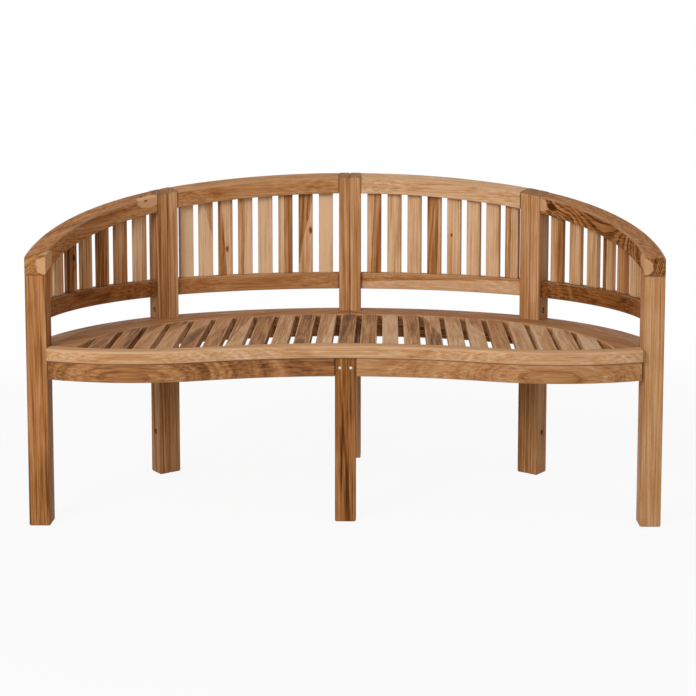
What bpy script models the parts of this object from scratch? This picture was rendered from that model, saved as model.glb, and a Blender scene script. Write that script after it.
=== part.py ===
"""Curved garden bench in solid teak.

Plan of the bench, seen from above: the back follows a line of two arcs, wide at the middle and
tighter towards the arms, and runs out straight over the two arm posts. The front of the seat
follows a second line, hollow at the middle and swelling forward on each side of the centre leg.
Every curved piece is swept along one of these two lines, and every straight piece takes its ends
from them. Metres, Z up, X along the bench, the front towards -Y.
"""

import math

import bmesh
import bpy
from mathutils import Vector

# Whole bench
bench_width = 1.500
arm_height = 0.647
arm_slope_share = 0.258
back_slope_share = 0.200
seat_height = 0.430
seat_fall_share = 0.0215

# Plan of the back, front faces of the posts and of the top rail
end_radius = 0.558
change_angle = math.radians(28.5)
mid_post_angle = math.radians(37.0)

# Plan of the front apron
hollow_radius = 1.000
swell_radius = 0.500
swell_centre = 0.500
swell_forward = 0.050

# Posts
post_side = 0.050
half_post_width = 0.030
post_edge = 0.0025
foot_edge = 0.004
post_top_edge = 0.003
post_stub_side = 0.024
post_stub_height = 0.020

# Top rail
top_rail_height = 0.0445
top_rail_front_round = 0.004
top_rail_back_round = 0.006
top_rail_under_edge = 0.002

# Lower back rail
lower_rail_height = 0.044
lower_rail_thickness = 0.030
lower_rail_recess = 0.012
lower_rail_share = 0.4725
lower_rail_edge = 0.0025

# Back slats
back_slat_width = 0.0385
back_slat_thickness = 0.014
back_slat_edge = 0.002
back_slat_insert = 0.010
inner_slat_count = 8
outer_slat_count = 7
head_groove_clearance = 0.0009
head_groove_stop = 0.006
head_strip_thickness = 0.009
head_strip_height = 0.007

# Seat panel
seat_board_thickness = 0.0295
front_board_width = 0.042
front_board_overhang = 0.006
rear_board_width = 0.068
front_board_round = 0.005
seat_board_edge = 0.0015
groove_depth = 0.010
groove_height = 0.0086
groove_drop = 0.0067

# Seat slats
outer_slat_margin = 0.108
slat_pitch_front = 0.0535
slat_pitch_rear = 0.0553
seat_slat_front_width = 0.0390
seat_slat_rear_width = 0.0415
seat_slat_thickness = 0.022
seat_slat_edge = 0.002
seat_slat_corner = 0.005
slat_end_gap = 0.0006
tongue_length = 0.0085
tongue_side_share = 0.86

# Frame under the seat
apron_height = 0.045
apron_thickness = 0.025
apron_edge = 0.002
apron_end_gap = 0.002
seat_rail_height = 0.073
seat_rail_edge = 0.003
centre_bearer_width = 0.050
bearer_height = 0.045
bearer_edge = 0.002

# Tenons
rail_tenon_length = 0.016
apron_tenon_length = 0.020
apron_leg_tenon_length = 0.008
bearer_tenon_length = 0.010
tenon_width_share = 0.42
tenon_height_share = 0.58
apron_tenon_width_share = 0.34
apron_tenon_set_back = 0.0045

# Fasteners
bolt_radius = 0.004
bolt_head_radius = 0.007
bolt_head_height = 0.005
bolt_recess_radius = 0.0078
bolt_recess_depth = 0.009
upper_bolt_share = 0.392944
lower_bolt_height = 0.113
leg_screw_spacing = 0.026
leg_screw_drop = 0.0245
screw_head_radius = 0.004
screw_head_height = 0.0025
screw_proud = 0.0005
screw_radius = 0.0022
screw_length = 0.085

# Fits
gap = 0.0003
overrun = 0.002
back_line_lead = 0.002

# Facets
rail_steps = 12
seat_rail_steps = 16
board_steps = 24
front_board_steps = 44
apron_steps = 20
round_sides = 12
halvings = 42

SIDES = {"left": -1, "right": 1}


class PlanLine:
    """A line in plan, symmetrical about x = 0, of arcs that run on into a straight end.

    A station is the length along it from the middle. An offset is the distance to its rear, or
    outer, side. Arcs are (radius, angle, turn), with turn -1 to the right and 1 to the left.
    """

    def __init__(self, middle_y, arcs):
        self.spans = []
        x, y, heading, station = 0.0, middle_y, 0.0, 0.0
        for radius, angle, turn in arcs:
            centre = (x - turn * radius * math.sin(heading), y + turn * radius * math.cos(heading))
            self.spans.append((station, radius, turn, centre, heading))
            heading += turn * angle
            x = centre[0] + turn * radius * math.sin(heading)
            y = centre[1] - turn * radius * math.cos(heading)
            station += radius * angle
        self.arc_end = (station, x, y, heading)

    def at(self, station):
        """Point and heading on the line at a station."""
        mirror = -1 if station < 0 else 1
        distance = abs(station)
        end_station, end_x, end_y, end_heading = self.arc_end
        if distance >= end_station:
            run = distance - end_station
            x = end_x + run * math.cos(end_heading)
            y = end_y + run * math.sin(end_heading)
            return mirror * x, y, mirror * end_heading
        for start, radius, turn, centre, heading in reversed(self.spans):
            if distance >= start:
                now = heading + turn * (distance - start) / radius
                x = centre[0] + turn * radius * math.sin(now)
                y = centre[1] - turn * radius * math.cos(now)
                return mirror * x, y, mirror * now

    def point(self, station, offset):
        x, y, heading = self.at(station)
        return x - offset * math.sin(heading), y + offset * math.cos(heading)

    def station_where(self, offset, test):
        """Station, at an offset, where test turns from negative to positive."""
        low, high = 0.0, bench_width
        for _ in range(halvings):
            middle = (low + high) / 2
            if test(*self.point(middle, offset)) < 0:
                low = middle
            else:
                high = middle
        return (low + high) / 2

    def station_of(self, x, y):
        """Station, on the side of x, whose offset line passes through a point."""
        low, high = 0.0, bench_width
        for _ in range(halvings):
            middle = (low + high) / 2
            line_x, line_y, heading = self.at(middle)
            ahead = (abs(x) - line_x) * math.cos(heading) + (y - line_y) * math.sin(heading)
            if ahead > 0:
                low = middle
            else:
                high = middle
        return (low + high) / 2

    def offset_of(self, x, y):
        line_x, line_y, heading = self.at(self.station_of(x, y))
        return (y - line_y) * math.cos(heading) - (abs(x) - line_x) * math.sin(heading)


class Frame:
    """A vertical plane across a line: an origin in plan and the direction of travel."""

    def __init__(self, x, y, heading):
        self.x = x
        self.y = y
        self.along = (math.cos(heading), math.sin(heading))
        self.out = (-math.sin(heading), math.cos(heading))

    def beyond(self, distance):
        """Test that is positive past the plane at this distance along the direction of travel."""
        def test(x, y):
            return (x - self.x) * self.along[0] + (y - self.y) * self.along[1] - distance
        return test

    def world(self, along, out):
        """Plan point at these distances along and out from the origin."""
        x = self.x + along * self.along[0] + out * self.out[0]
        y = self.y + along * self.along[1] + out * self.out[1]
        return x, y


# Lines of the plan
arm_face_x = bench_width / 2 - post_side
middle_radius = end_radius + (arm_face_x - end_radius) / math.sin(change_angle)
back_rise = middle_radius - (middle_radius - end_radius) * math.cos(change_angle)
back_middle_y = back_line_lead + back_rise
back_line = PlanLine(back_middle_y, [
    (middle_radius, change_angle, -1),
    (end_radius, math.pi / 2 - change_angle, -1),
])
front_turn = math.asin(swell_centre / (hollow_radius + swell_radius))
front_depth = (hollow_radius + swell_radius) * (1 - math.cos(front_turn))
front_middle_y = front_depth - swell_forward
front_line = PlanLine(front_middle_y, [
    (hollow_radius, front_turn, -1),
    (swell_radius, front_turn + math.pi / 3, 1),
])
back_edge_y = back_middle_y + post_side
front_edge_y = -swell_forward - front_board_overhang
origin_y = (back_edge_y + front_edge_y) / 2

centre_frame = Frame(0.0, back_middle_y, 0.0)
mid_station = middle_radius * change_angle + end_radius * (mid_post_angle - change_angle)
mid_frame = Frame(*back_line.at(mid_station))
arm_rear_frame = Frame(arm_face_x, post_side, -math.pi / 2)
arm_front_frame = Frame(arm_face_x, 0.0, -math.pi / 2)
leg_frame = Frame(0.0, front_middle_y, 0.0)
arm_side_frame = Frame(arm_face_x, 0.0, 0.0)


def rail_top(y):
    """Height of the top rail, which rises to the back in a shallow arch."""
    bend = (arm_slope_share - back_slope_share) / (2 * back_edge_y)
    return arm_height + arm_slope_share * y - bend * y * y


def rail_slope(y):
    """Slope of the top rail's arch."""
    return arm_slope_share - (arm_slope_share - back_slope_share) * y / back_edge_y


def rail_under(y):
    return rail_top(y) - top_rail_height


def seat_top(y):
    """Height of the seat, which falls a little to the back."""
    return seat_height - seat_fall_share * y


def lower_rail_top(y):
    """Height of the lower back rail, at a share of the way from the seat to the arms."""
    return seat_top(y) + lower_rail_share * (arm_height - seat_height)


def board_under(y):
    return seat_top(y) - seat_board_thickness


def ground(_y):
    return 0.0


# Cross-sections, as (offset, drop) round the piece
def eased_section(inner, outer, top, bottom, edge):
    """Rectangle with four eased edges."""
    return [
        (inner, top + edge), (inner + edge, top), (outer - edge, top), (outer, top + edge),
        (outer, bottom - edge), (outer - edge, bottom), (inner + edge, bottom),
        (inner, bottom - edge),
    ]


def round_corner(inner, top, radius, quarter):
    """Three points of a rounded top corner, quarter 1 on the inner and -1 on the outer edge."""
    shoulder = radius * (1 - math.cos(math.pi / 4))
    points = [(inner, top + radius), (inner + quarter * shoulder, top + shoulder),
              (inner + quarter * radius, top)]
    return points if quarter > 0 else points[::-1]


def top_rail_section():
    edge = top_rail_under_edge
    section = round_corner(0.0, 0.0, top_rail_front_round, 1)
    section += round_corner(post_side, 0.0, top_rail_back_round, -1)
    section += [(post_side, top_rail_height - edge), (post_side - edge, top_rail_height),
                (edge, top_rail_height), (0.0, top_rail_height - edge)]
    return section


def front_board_section():
    """Front board: rounded front edge, groove for the slats along its rear edge."""
    front = -front_board_overhang
    rear = front + front_board_width
    under = seat_board_thickness
    edge = seat_board_edge
    section = round_corner(front, 0.0, front_board_round, 1)
    section += [(rear - edge, 0.0), (rear, edge)]
    section += groove_points(rear, -1)
    section += [(rear, under - edge), (rear - edge, under), (front + edge, under),
                (front, under - edge)]
    return section


def rear_board_section():
    """Rear board: eased edges, groove for the slats along its front edge."""
    front = -rear_board_width
    rear = -gap
    under = seat_board_thickness
    edge = seat_board_edge
    section = [(front, edge), (front + edge, 0.0), (rear - edge, 0.0), (rear, edge),
               (rear, under - edge), (rear - edge, under), (front + edge, under),
               (front, under - edge)]
    section += groove_points(front, 1)[::-1]
    return section


def groove_points(face, inward):
    """Four corners of the slat groove, from top to bottom, cut into a face."""
    floor = face + inward * groove_depth
    bottom = groove_drop + groove_height
    return [(face, groove_drop), (floor, groove_drop), (floor, bottom), (face, bottom)]


def shrunk(section, width_share, height_share, shift=0.0, grow=0.0):
    """Section drawn in about its middle, as a tenon's, or that plus a clearance."""
    offsets = [offset for offset, _ in section]
    drops = [drop for _, drop in section]
    middle_offset = (min(offsets) + max(offsets)) / 2
    middle_drop = (min(drops) + max(drops)) / 2
    points = []
    for offset, drop in section:
        wide = (offset - middle_offset) * width_share
        high = (drop - middle_drop) * height_share
        wide += math.copysign(grow, wide)
        high += math.copysign(grow, high)
        points.append((middle_offset + shift + wide, middle_drop + high))
    return points


# Meshes
def add_loft(mesh, rings):
    """Closed body through rings of points with as many points each."""
    rows = [[mesh.verts.new((x, y - origin_y, z)) for x, y, z in ring] for ring in rings]
    count = len(rows[0])
    for first, second in zip(rows, rows[1:]):
        for index in range(count):
            after = (index + 1) % count
            mesh.faces.new((first[index], first[after], second[after], second[index]))
    mesh.faces.new(rows[0])
    mesh.faces.new(rows[-1])


def mirrored(rings, side):
    return [[(side * x, y, z) for x, y, z in ring] for ring in rings]


def make_object(name, bodies, material=None):
    """Object of one or more lofted bodies."""
    mesh = bmesh.new()
    for rings in bodies:
        add_loft(mesh, rings)
    bmesh.ops.recalc_face_normals(mesh, faces=mesh.faces)
    data = bpy.data.meshes.new(name)
    mesh.to_mesh(data)
    mesh.free()
    data.shade_smooth()
    data.set_sharp_from_angle(angle=math.radians(30.0))
    if material:
        data.materials.append(material)
    piece = bpy.data.objects.new(name, data)
    bpy.context.scene.collection.objects.link(piece)
    return piece


def combine(piece, operation, bodies):
    """Cuts lofted bodies from a piece, or unites them with it."""
    cutter = make_object(piece.name + "_tool", bodies)
    cutter.hide_render = True
    cutter.display_type = "WIRE"
    boolean = piece.modifiers.new("joinery", "BOOLEAN")
    boolean.operation = operation
    boolean.object = cutter


def wood(name, colour, roughness=0.55):
    material = bpy.data.materials.new(name)
    material.use_nodes = True
    shader = material.node_tree.nodes["Principled BSDF"]
    shader.inputs["Base Color"].default_value = (*colour, 1.0)
    shader.inputs["Roughness"].default_value = roughness
    shader.inputs["Metallic"].default_value = 0.0
    return material


def steel(name):
    material = wood(name, (0.62, 0.60, 0.57), 0.35)
    material.node_tree.nodes["Principled BSDF"].inputs["Metallic"].default_value = 1.0
    return material


# Swept pieces
def across(line, section, test, surface):
    """Ring of a section where the line crosses a plane."""
    ring = []
    for offset, drop in section:
        x, y = line.point(line.station_where(offset, test), offset)
        ring.append((x, y, surface(y) - drop))
    return ring


def sweep(line, section, start_test, end_test, steps, surface):
    """Rings of a section from one end plane to the other."""
    ends = [(line.station_where(offset, start_test), line.station_where(offset, end_test))
            for offset, _ in section]
    rings = []
    for step in range(steps + 1):
        share = step / steps
        ring = []
        for (offset, drop), (first, last) in zip(section, ends):
            x, y = line.point(first + (last - first) * share, offset)
            ring.append((x, y, surface(y) - drop))
        rings.append(ring)
    return rings


class Joint:
    """One end of a rail: the frame it meets, where its shoulder stops and how deep it goes."""

    def __init__(self, frame, shoulder, tenon_end):
        self.frame = frame
        self.shoulder = shoulder
        self.tenon_end = tenon_end

    def tenon(self, line, section, surface, shares, shift):
        """Rings of the tenon, from its root on the shoulder to its end."""
        inner = shrunk(section, *shares, shift)
        root = across(line, inner, self.frame.beyond(self.shoulder), surface)
        return [root, across(line, inner, self.frame.beyond(self.tenon_end), surface)]

    def mortise(self, line, section, surface, shares, shift):
        """Rings of the pocket that the tenon enters, with its clearance."""
        deeper = math.copysign(gap, self.tenon_end - self.shoulder)
        outside = math.copysign(overrun, self.tenon_end - self.shoulder)
        inner = shrunk(section, *shares, shift, gap)
        mouth = across(line, inner, self.frame.beyond(self.shoulder - outside), surface)
        return [mouth, across(line, inner, self.frame.beyond(self.tenon_end + deeper), surface)]


def tenoned_sweep(line, section, start, end, steps, surface, shares, shift=0.0):
    """Rings of a rail with a tenon at each joint that has one."""
    rings = sweep(line, section, start.frame.beyond(start.shoulder),
                  end.frame.beyond(end.shoulder), steps, surface)
    if start.tenon_end is not None:
        rings = start.tenon(line, section, surface, shares, shift)[::-1] + rings
    if end.tenon_end is not None:
        rings = rings + end.tenon(line, section, surface, shares, shift)
    return rings


rail_shares = (tenon_width_share, tenon_height_share)
apron_shares = (apron_tenon_width_share, tenon_height_share)
shoulder = half_post_width + gap
tenon_stop = half_post_width - rail_tenon_length

# Ends of the two kinds of back span, from the middle outwards
inner_start = Joint(centre_frame, shoulder, tenon_stop)
inner_end = Joint(mid_frame, -shoulder, -tenon_stop)
outer_start = Joint(mid_frame, shoulder, tenon_stop)
outer_end = Joint(arm_rear_frame, -gap, rail_tenon_length)
outer_top_end = Joint(arm_front_frame, 0.0, None)
apron_start = Joint(leg_frame, post_side / 2 + gap, post_side / 2 - apron_leg_tenon_length)
apron_end = Joint(arm_side_frame, -apron_end_gap, apron_tenon_length)

lower_rail_section = eased_section(
    lower_rail_recess, lower_rail_recess + lower_rail_thickness, 0.0, lower_rail_height,
    lower_rail_edge)
seat_rail_section = eased_section(0.0, post_side, 0.0, seat_rail_height, seat_rail_edge)
apron_section = eased_section(
    0.0, apron_thickness, seat_board_thickness + gap, seat_board_thickness + apron_height,
    apron_edge)
slat_line_offset = lower_rail_recess + lower_rail_thickness / 2

SPANS = {
    "inner": (inner_start, inner_end, inner_end, inner_slat_count),
    "outer": (outer_start, outer_end, outer_top_end, outer_slat_count),
}


# Back slats
def eased_outline(frame, half_width, half_depth, edge, grow=0.0):
    """Eight plan points of a rectangle with eased corners, about a frame."""
    wide = half_width + grow
    deep = half_depth + grow
    corners = [(-wide, -deep + edge), (-wide + edge, -deep), (wide - edge, -deep),
               (wide, -deep + edge), (wide, deep - edge), (wide - edge, deep),
               (-wide + edge, deep), (-wide, deep - edge)]
    return [frame.world(along, out) for along, out in corners]


def slat_frames(span):
    """Frames of a span's slats, spread with equal gaps between its posts."""
    start, end, _, count = SPANS[span]
    first = back_line.station_where(slat_line_offset, start.frame.beyond(start.shoulder))
    last = back_line.station_where(slat_line_offset, end.frame.beyond(end.shoulder))
    stretch = (slat_line_offset + end_radius) / end_radius
    spare = ((last - first) * stretch - count * back_slat_width) / (count + 1)
    frames = []
    for index in range(count):
        centre = spare + back_slat_width / 2 + index * (back_slat_width + spare)
        station = first + centre / stretch
        _, _, heading = back_line.at(station)
        x, y = back_line.point(station, slat_line_offset)
        frames.append(Frame(x, y, heading))
    return frames


def slat_body(frame, bottom, top, grow):
    """Slat, or its pocket, whose upper end follows the slope of the top rail."""
    outline = eased_outline(frame, back_slat_width / 2, back_slat_thickness / 2,
                            back_slat_edge, grow)
    slope = rail_slope(frame.y)
    return [[(x, y, bottom) for x, y in outline],
            [(x, y, top + slope * (y - frame.y)) for x, y in outline]]


def back_slat_rings(frame):
    bottom = lower_rail_top(frame.y) - back_slat_insert
    return slat_body(frame, bottom, rail_under(frame.y) + back_slat_insert, 0.0)


def lower_pocket(frame):
    floor = lower_rail_top(frame.y) - back_slat_insert - gap
    return slat_body(frame, floor, lower_rail_top(frame.y) + back_slat_insert, gap)


def head_section(half_width, low, high):
    """Rectangle about the slats' line, from low to high above the top rail's underside."""
    return [(slat_line_offset - half_width, -low), (slat_line_offset - half_width, -high),
            (slat_line_offset + half_width, -high), (slat_line_offset + half_width, -low)]


def head_groove(span):
    """Groove under the top rail that takes the heads of a span's slats."""
    start, end, _, _ = SPANS[span]
    half_width = back_slat_thickness / 2 + head_groove_clearance
    section = head_section(half_width, -overrun, back_slat_insert + head_groove_clearance)
    return sweep(back_line, section, start.frame.beyond(start.shoulder + head_groove_stop),
                 end.frame.beyond(end.shoulder - head_groove_stop), rail_steps, rail_under)


def head_strip(frames):
    """Strip in the groove that ties the heads of a span's slats into one panel."""
    high = back_slat_insert - gap
    section = head_section(head_strip_thickness / 2, high - head_strip_height, high)
    return sweep(back_line, section, frames[0].beyond(0.0), frames[-1].beyond(0.0), rail_steps,
                 rail_under)


# Posts
def box_outline(frame, along, out, edge, inset=0.0):
    """Eased rectangle in a frame, from two ranges along and out."""
    low_a, high_a = along[0] + inset, along[1] - inset
    low_o, high_o = out[0] + inset, out[1] - inset
    corners = [(low_a, low_o + edge), (low_a + edge, low_o), (high_a - edge, low_o),
               (high_a, low_o + edge), (high_a, high_o - edge), (high_a - edge, high_o),
               (low_a + edge, high_o), (low_a, high_o - edge)]
    return [frame.world(a, o) for a, o in corners]


def ring_at(outline, surface, drop=0.0):
    return [(x, y, surface(y) - drop) for x, y in outline]


def post_rings(frame, along, out, surface):
    """Post with eased edges, foot and top."""
    return [
        ring_at(box_outline(frame, along, out, post_edge, foot_edge), ground),
        ring_at(box_outline(frame, along, out, post_edge), ground, -foot_edge),
        ring_at(box_outline(frame, along, out, post_edge), surface, post_top_edge),
        ring_at(box_outline(frame, along, out, post_edge, post_top_edge), surface),
    ]


def arm_under(y):
    return rail_under(y) - gap


def arm_post_rings():
    """Arm post, whose square head carries the rail and stubs into it."""
    along, out = (0.0, post_side), (0.0, post_side)
    frame = Frame(arm_face_x, 0.0, 0.0)
    rings = [
        ring_at(box_outline(frame, along, out, post_edge, foot_edge), ground),
        ring_at(box_outline(frame, along, out, post_edge), ground, -foot_edge),
        ring_at(box_outline(frame, along, out, post_edge), arm_under),
    ]
    return rings + stub_rings(frame, 0.0, arm_under, arm_under)


def stub_rings(frame, grow, foot_surface, top_surface, foot_drop=0.0):
    """Stub on the arm post's head, or its pocket in the rail."""
    reach = (post_side - post_stub_side) / 2 - grow
    outline = box_outline(frame, (reach, post_side - reach), (reach, post_side - reach), post_edge)
    return [ring_at(outline, foot_surface, foot_drop),
            ring_at(outline, top_surface, -post_stub_height - grow)]


def stub_pocket():
    frame = Frame(arm_face_x, 0.0, 0.0)
    return stub_rings(frame, gap, arm_under, arm_under, overrun)


# Seat slats
slats_each_side = int((arm_face_x - outer_slat_margin) / slat_pitch_front)


front_board_rear = front_board_width - front_board_overhang
front_board_rear_y = front_line.point(0.0, front_board_rear)[1]
board_front_y = back_line.point(0.0, -rear_board_width)[1]


def lane_x(position, side_share, y):
    """Place across the bench, at depth y, of a line along a slat."""
    share = (y - front_board_rear_y) / (board_front_y - front_board_rear_y)
    pitch = slat_pitch_front + (slat_pitch_rear - slat_pitch_front) * share
    width = seat_slat_front_width + (seat_slat_rear_width - seat_slat_front_width) * share
    return position * pitch + side_share * width / 2


def lane_point(position, side_share, test):
    """Point on a slat's lane where test turns from negative to positive, front to rear."""
    low, high = front_edge_y, back_edge_y
    for _ in range(halvings):
        middle = (low + high) / 2
        if test(lane_x(position, side_share, middle), middle) < 0:
            low = middle
        else:
            high = middle
    middle = (low + high) / 2
    return lane_x(position, side_share, middle), middle


def front_test(inset):
    """Positive past a line behind the front board's rear edge."""
    def test(x, y):
        return front_line.offset_of(x, y) - front_board_rear - slat_end_gap - inset
    return test


def rear_test(inset):
    """Positive past a line in front of the rear board's front edge."""
    def test(x, y):
        return back_line.offset_of(x, y) + rear_board_width + slat_end_gap + inset
    return test


def seat_slat_rings(position):
    """Seat slat with eased edges, clipped rear corners and a tongue at each end."""
    edge_share = 1 - 2 * seat_slat_edge / seat_slat_front_width
    corner_share = 1 - 2 * seat_slat_corner / seat_slat_rear_width
    deep = seat_slat_thickness
    section = [(-1, seat_slat_edge), (-edge_share, 0.0), (0, 0.0), (edge_share, 0.0),
               (1, seat_slat_edge), (1, deep), (0, deep), (-1, deep)]
    tongue_top = groove_drop + gap
    tongue_bottom = groove_drop + groove_height - gap

    def ring(test, side_share, as_tongue=False):
        points = []
        for across_share, drop in section:
            x, y = lane_point(position, across_share * side_share, test)
            if as_tongue:
                drop = tongue_top + (tongue_bottom - tongue_top) * drop / deep
            points.append((x, y, seat_top(y) - drop))
        return points

    return [
        ring(front_test(-tongue_length), tongue_side_share, True),
        ring(front_test(0.0), tongue_side_share, True),
        ring(front_test(0.0), 1.0),
        ring(rear_test(seat_slat_corner), 1.0),
        ring(rear_test(0.0), corner_share),
        ring(rear_test(0.0), tongue_side_share * corner_share, True),
        ring(rear_test(-tongue_length), tongue_side_share * corner_share, True),
    ]


# Centre bearer
bearer_section = eased_section(
    -centre_bearer_width / 2, centre_bearer_width / 2, seat_board_thickness + gap,
    seat_board_thickness + bearer_height, bearer_edge)
bearer_front_y = front_middle_y + post_side + gap
bearer_rear_y = back_middle_y - gap


def across_bearer(section, y):
    """Ring of a bearer section at depth y."""
    return [(x, y, seat_top(y) - drop) for x, drop in section]


def bearer_rings():
    """Bearer from the centre leg to the centre post, with a tenon into the post."""
    inner = shrunk(bearer_section, tenon_width_share, tenon_height_share)
    return [across_bearer(bearer_section, bearer_front_y),
            across_bearer(bearer_section, bearer_rear_y), across_bearer(inner, bearer_rear_y),
            across_bearer(inner, bearer_rear_y + bearer_tenon_length)]


def bearer_pocket():
    """Pocket in the centre post for the bearer's tenon."""
    inner = shrunk(bearer_section, tenon_width_share, tenon_height_share, 0.0, gap)
    floor = bearer_rear_y + bearer_tenon_length + gap
    return [across_bearer(inner, bearer_rear_y - overrun), across_bearer(inner, floor)]


# Turned fasteners
def turned(origin, axis, steps, sides=round_sides):
    """Rings of a turned body: steps of (distance along the axis, radius)."""
    direction = Vector(axis).normalized()
    upright = Vector((0.0, 0.0, 1.0))
    aside = direction.cross(upright).normalized()
    rings = []
    for distance, radius in steps:
        ring = []
        for index in range(sides):
            angle = 2 * math.pi * index / sides
            spoke = aside * math.cos(angle) + upright * math.sin(angle)
            ring.append(tuple(Vector(origin) + direction * distance + spoke * radius))
        rings.append(ring)
    return rings


bolt_floor = half_post_width - bolt_recess_depth
bolt_seat = bolt_floor + gap
bolt_end = bolt_seat + bolt_head_height


mid_seat_top = seat_top(mid_frame.y)
upper_bolt_space = lower_rail_top(mid_frame.y) - lower_rail_height - mid_seat_top
upper_bolt_height = mid_seat_top + upper_bolt_share * upper_bolt_space
BOLT_HEIGHTS = {"upper": upper_bolt_height, "lower": lower_bolt_height}


def bolt_place(side, height):
    """Middle and axis of a bolt that ties the halves of a mid post."""
    x, y = mid_frame.world(0.0, post_side / 2)
    return (side * x, y, height), (side * mid_frame.along[0], mid_frame.along[1], 0.0)


def bolt_rings(origin, axis):
    return turned(origin, axis, [
        (-bolt_end, bolt_head_radius), (-bolt_seat, bolt_head_radius),
        (-bolt_seat, bolt_radius), (bolt_seat, bolt_radius),
        (bolt_seat, bolt_head_radius), (bolt_end, bolt_head_radius)])


def bolt_pocket(origin, axis):
    mouth = half_post_width + overrun
    bore = bolt_radius + gap
    return turned(origin, axis, [
        (-mouth, bolt_recess_radius), (-bolt_floor, bolt_recess_radius),
        (-bolt_floor, bore), (bolt_floor, bore),
        (bolt_floor, bolt_recess_radius), (mouth, bolt_recess_radius)])


def screw_origin(side):
    height = board_under(front_middle_y) - leg_screw_drop
    return side * leg_screw_spacing / 2, front_middle_y, height


def screw_rings(origin):
    under_head = screw_head_height - screw_proud
    return turned(origin, (0.0, 1.0, 0.0), [
        (-screw_proud, screw_head_radius), (under_head, screw_head_radius),
        (under_head, screw_radius), (screw_length, screw_radius)])


def screw_pocket(origin):
    floor = screw_head_height - screw_proud + gap
    return turned(origin, (0.0, 1.0, 0.0), [
        (-overrun, screw_head_radius + gap), (floor, screw_head_radius + gap),
        (floor, screw_radius + gap), (screw_length + gap, screw_radius + gap)])


# Assembly
def clear_scene():
    for item in list(bpy.data.objects):
        bpy.data.objects.remove(item, do_unlink=True)


def build_back(woods):
    """Top rails, lower rails, seat rails and slat panels."""
    for side_name, side in SIDES.items():
        for span, (start, end, top_end, _) in SPANS.items():
            label = side_name + "_" + span
            frames = slat_frames(span)
            top = tenoned_sweep(back_line, top_rail_section(), start, top_end, rail_steps,
                                rail_top, rail_shares)
            rail = make_object("top_rail_" + label, [mirrored(top, side)], woods["rail"])
            pockets = [head_groove(span)]
            if span == "outer":
                pockets.append(stub_pocket())
            combine(rail, "DIFFERENCE", [mirrored(rings, side) for rings in pockets])

            lower = tenoned_sweep(back_line, lower_rail_section, start, end, rail_steps,
                                  lower_rail_top, rail_shares)
            rail = make_object("lower_back_rail_" + label, [mirrored(lower, side)],
                               woods["rail"])
            combine(rail, "DIFFERENCE", [mirrored(lower_pocket(frame), side) for frame in frames])

            seat_rail = tenoned_sweep(back_line, seat_rail_section, start, end,
                                      seat_rail_steps, seat_top, rail_shares)
            make_object("rear_seat_rail_" + label, [mirrored(seat_rail, side)], woods["frame"])

            slats = [mirrored(back_slat_rings(frame), side) for frame in frames]
            panel = make_object("back_slats_" + label, slats, woods["slat"])
            combine(panel, "UNION", [mirrored(head_strip(frames), side)])


def rail_mortises(joint):
    """Pockets of the top rail, the lower rail and the seat rail at one joint."""
    pockets = [
        joint.mortise(back_line, lower_rail_section, lower_rail_top, rail_shares, 0.0),
        joint.mortise(back_line, seat_rail_section, seat_top, rail_shares, 0.0),
    ]
    if joint is not outer_end:
        pockets.append(joint.mortise(back_line, top_rail_section(), rail_top, rail_shares, 0.0))
    return pockets


def half_post(name, frame, side, half, joint, pockets, material):
    """Half of a rear post. Half is -1 on the side nearer the middle of the bench, else 1."""
    along = (gap / 2, half_post_width) if half > 0 else (-half_post_width, -gap / 2)
    rings = post_rings(frame, along, (0.0, post_side), rail_top)
    post = make_object(name, [mirrored(rings, side)], material)
    mortises = [mirrored(pocket, side) for pocket in rail_mortises(joint)]
    combine(post, "DIFFERENCE", mortises + pockets)


def apron_mortise(joint, side):
    rings = joint.mortise(front_line, apron_section, seat_top, apron_shares,
                          apron_tenon_set_back)
    return mirrored(rings, side)


def build_posts(woods):
    """Arm posts, centre leg and the halved rear posts."""
    for side_name, side in SIDES.items():
        post = make_object("arm_post_" + side_name, [mirrored(arm_post_rings(), side)],
                           woods["post"])
        mortises = [mirrored(pocket, side) for pocket in rail_mortises(outer_end)]
        combine(post, "DIFFERENCE", mortises + [apron_mortise(apron_end, side)])
        bolts = [bolt_pocket(*bolt_place(side, height)) for height in BOLT_HEIGHTS.values()]
        half_post("centre_post_" + side_name + "_half", centre_frame, side, 1, inner_start,
                  [bearer_pocket()], woods["post"])
        half_post("mid_post_" + side_name + "_inner_half", mid_frame, side, -1, inner_end,
                  bolts, woods["post"])
        half_post("mid_post_" + side_name + "_outer_half", mid_frame, side, 1, outer_start,
                  bolts, woods["post"])

    half = post_side / 2
    rings = post_rings(leg_frame, (-half, half), (0.0, post_side), leg_top)
    leg = make_object("front_centre_leg", [rings], woods["post"])
    combine(leg, "DIFFERENCE", [apron_mortise(apron_start, side) for side in SIDES.values()]
            + [screw_pocket(screw_origin(side)) for side in SIDES.values()])


def leg_top(y):
    return board_under(y) - gap


def build_seat_frame(woods):
    """Aprons and the centre bearer under the seat."""
    for side_name, side in SIDES.items():
        rings = tenoned_sweep(front_line, apron_section, apron_start, apron_end, apron_steps,
                              seat_top, apron_shares, apron_tenon_set_back)
        make_object("front_apron_" + side_name, [mirrored(rings, side)], woods["frame"])
    bearer = make_object("centre_bearer", [bearer_rings()], woods["frame"])
    combine(bearer, "DIFFERENCE", [screw_pocket(screw_origin(side)) for side in SIDES.values()])


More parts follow.
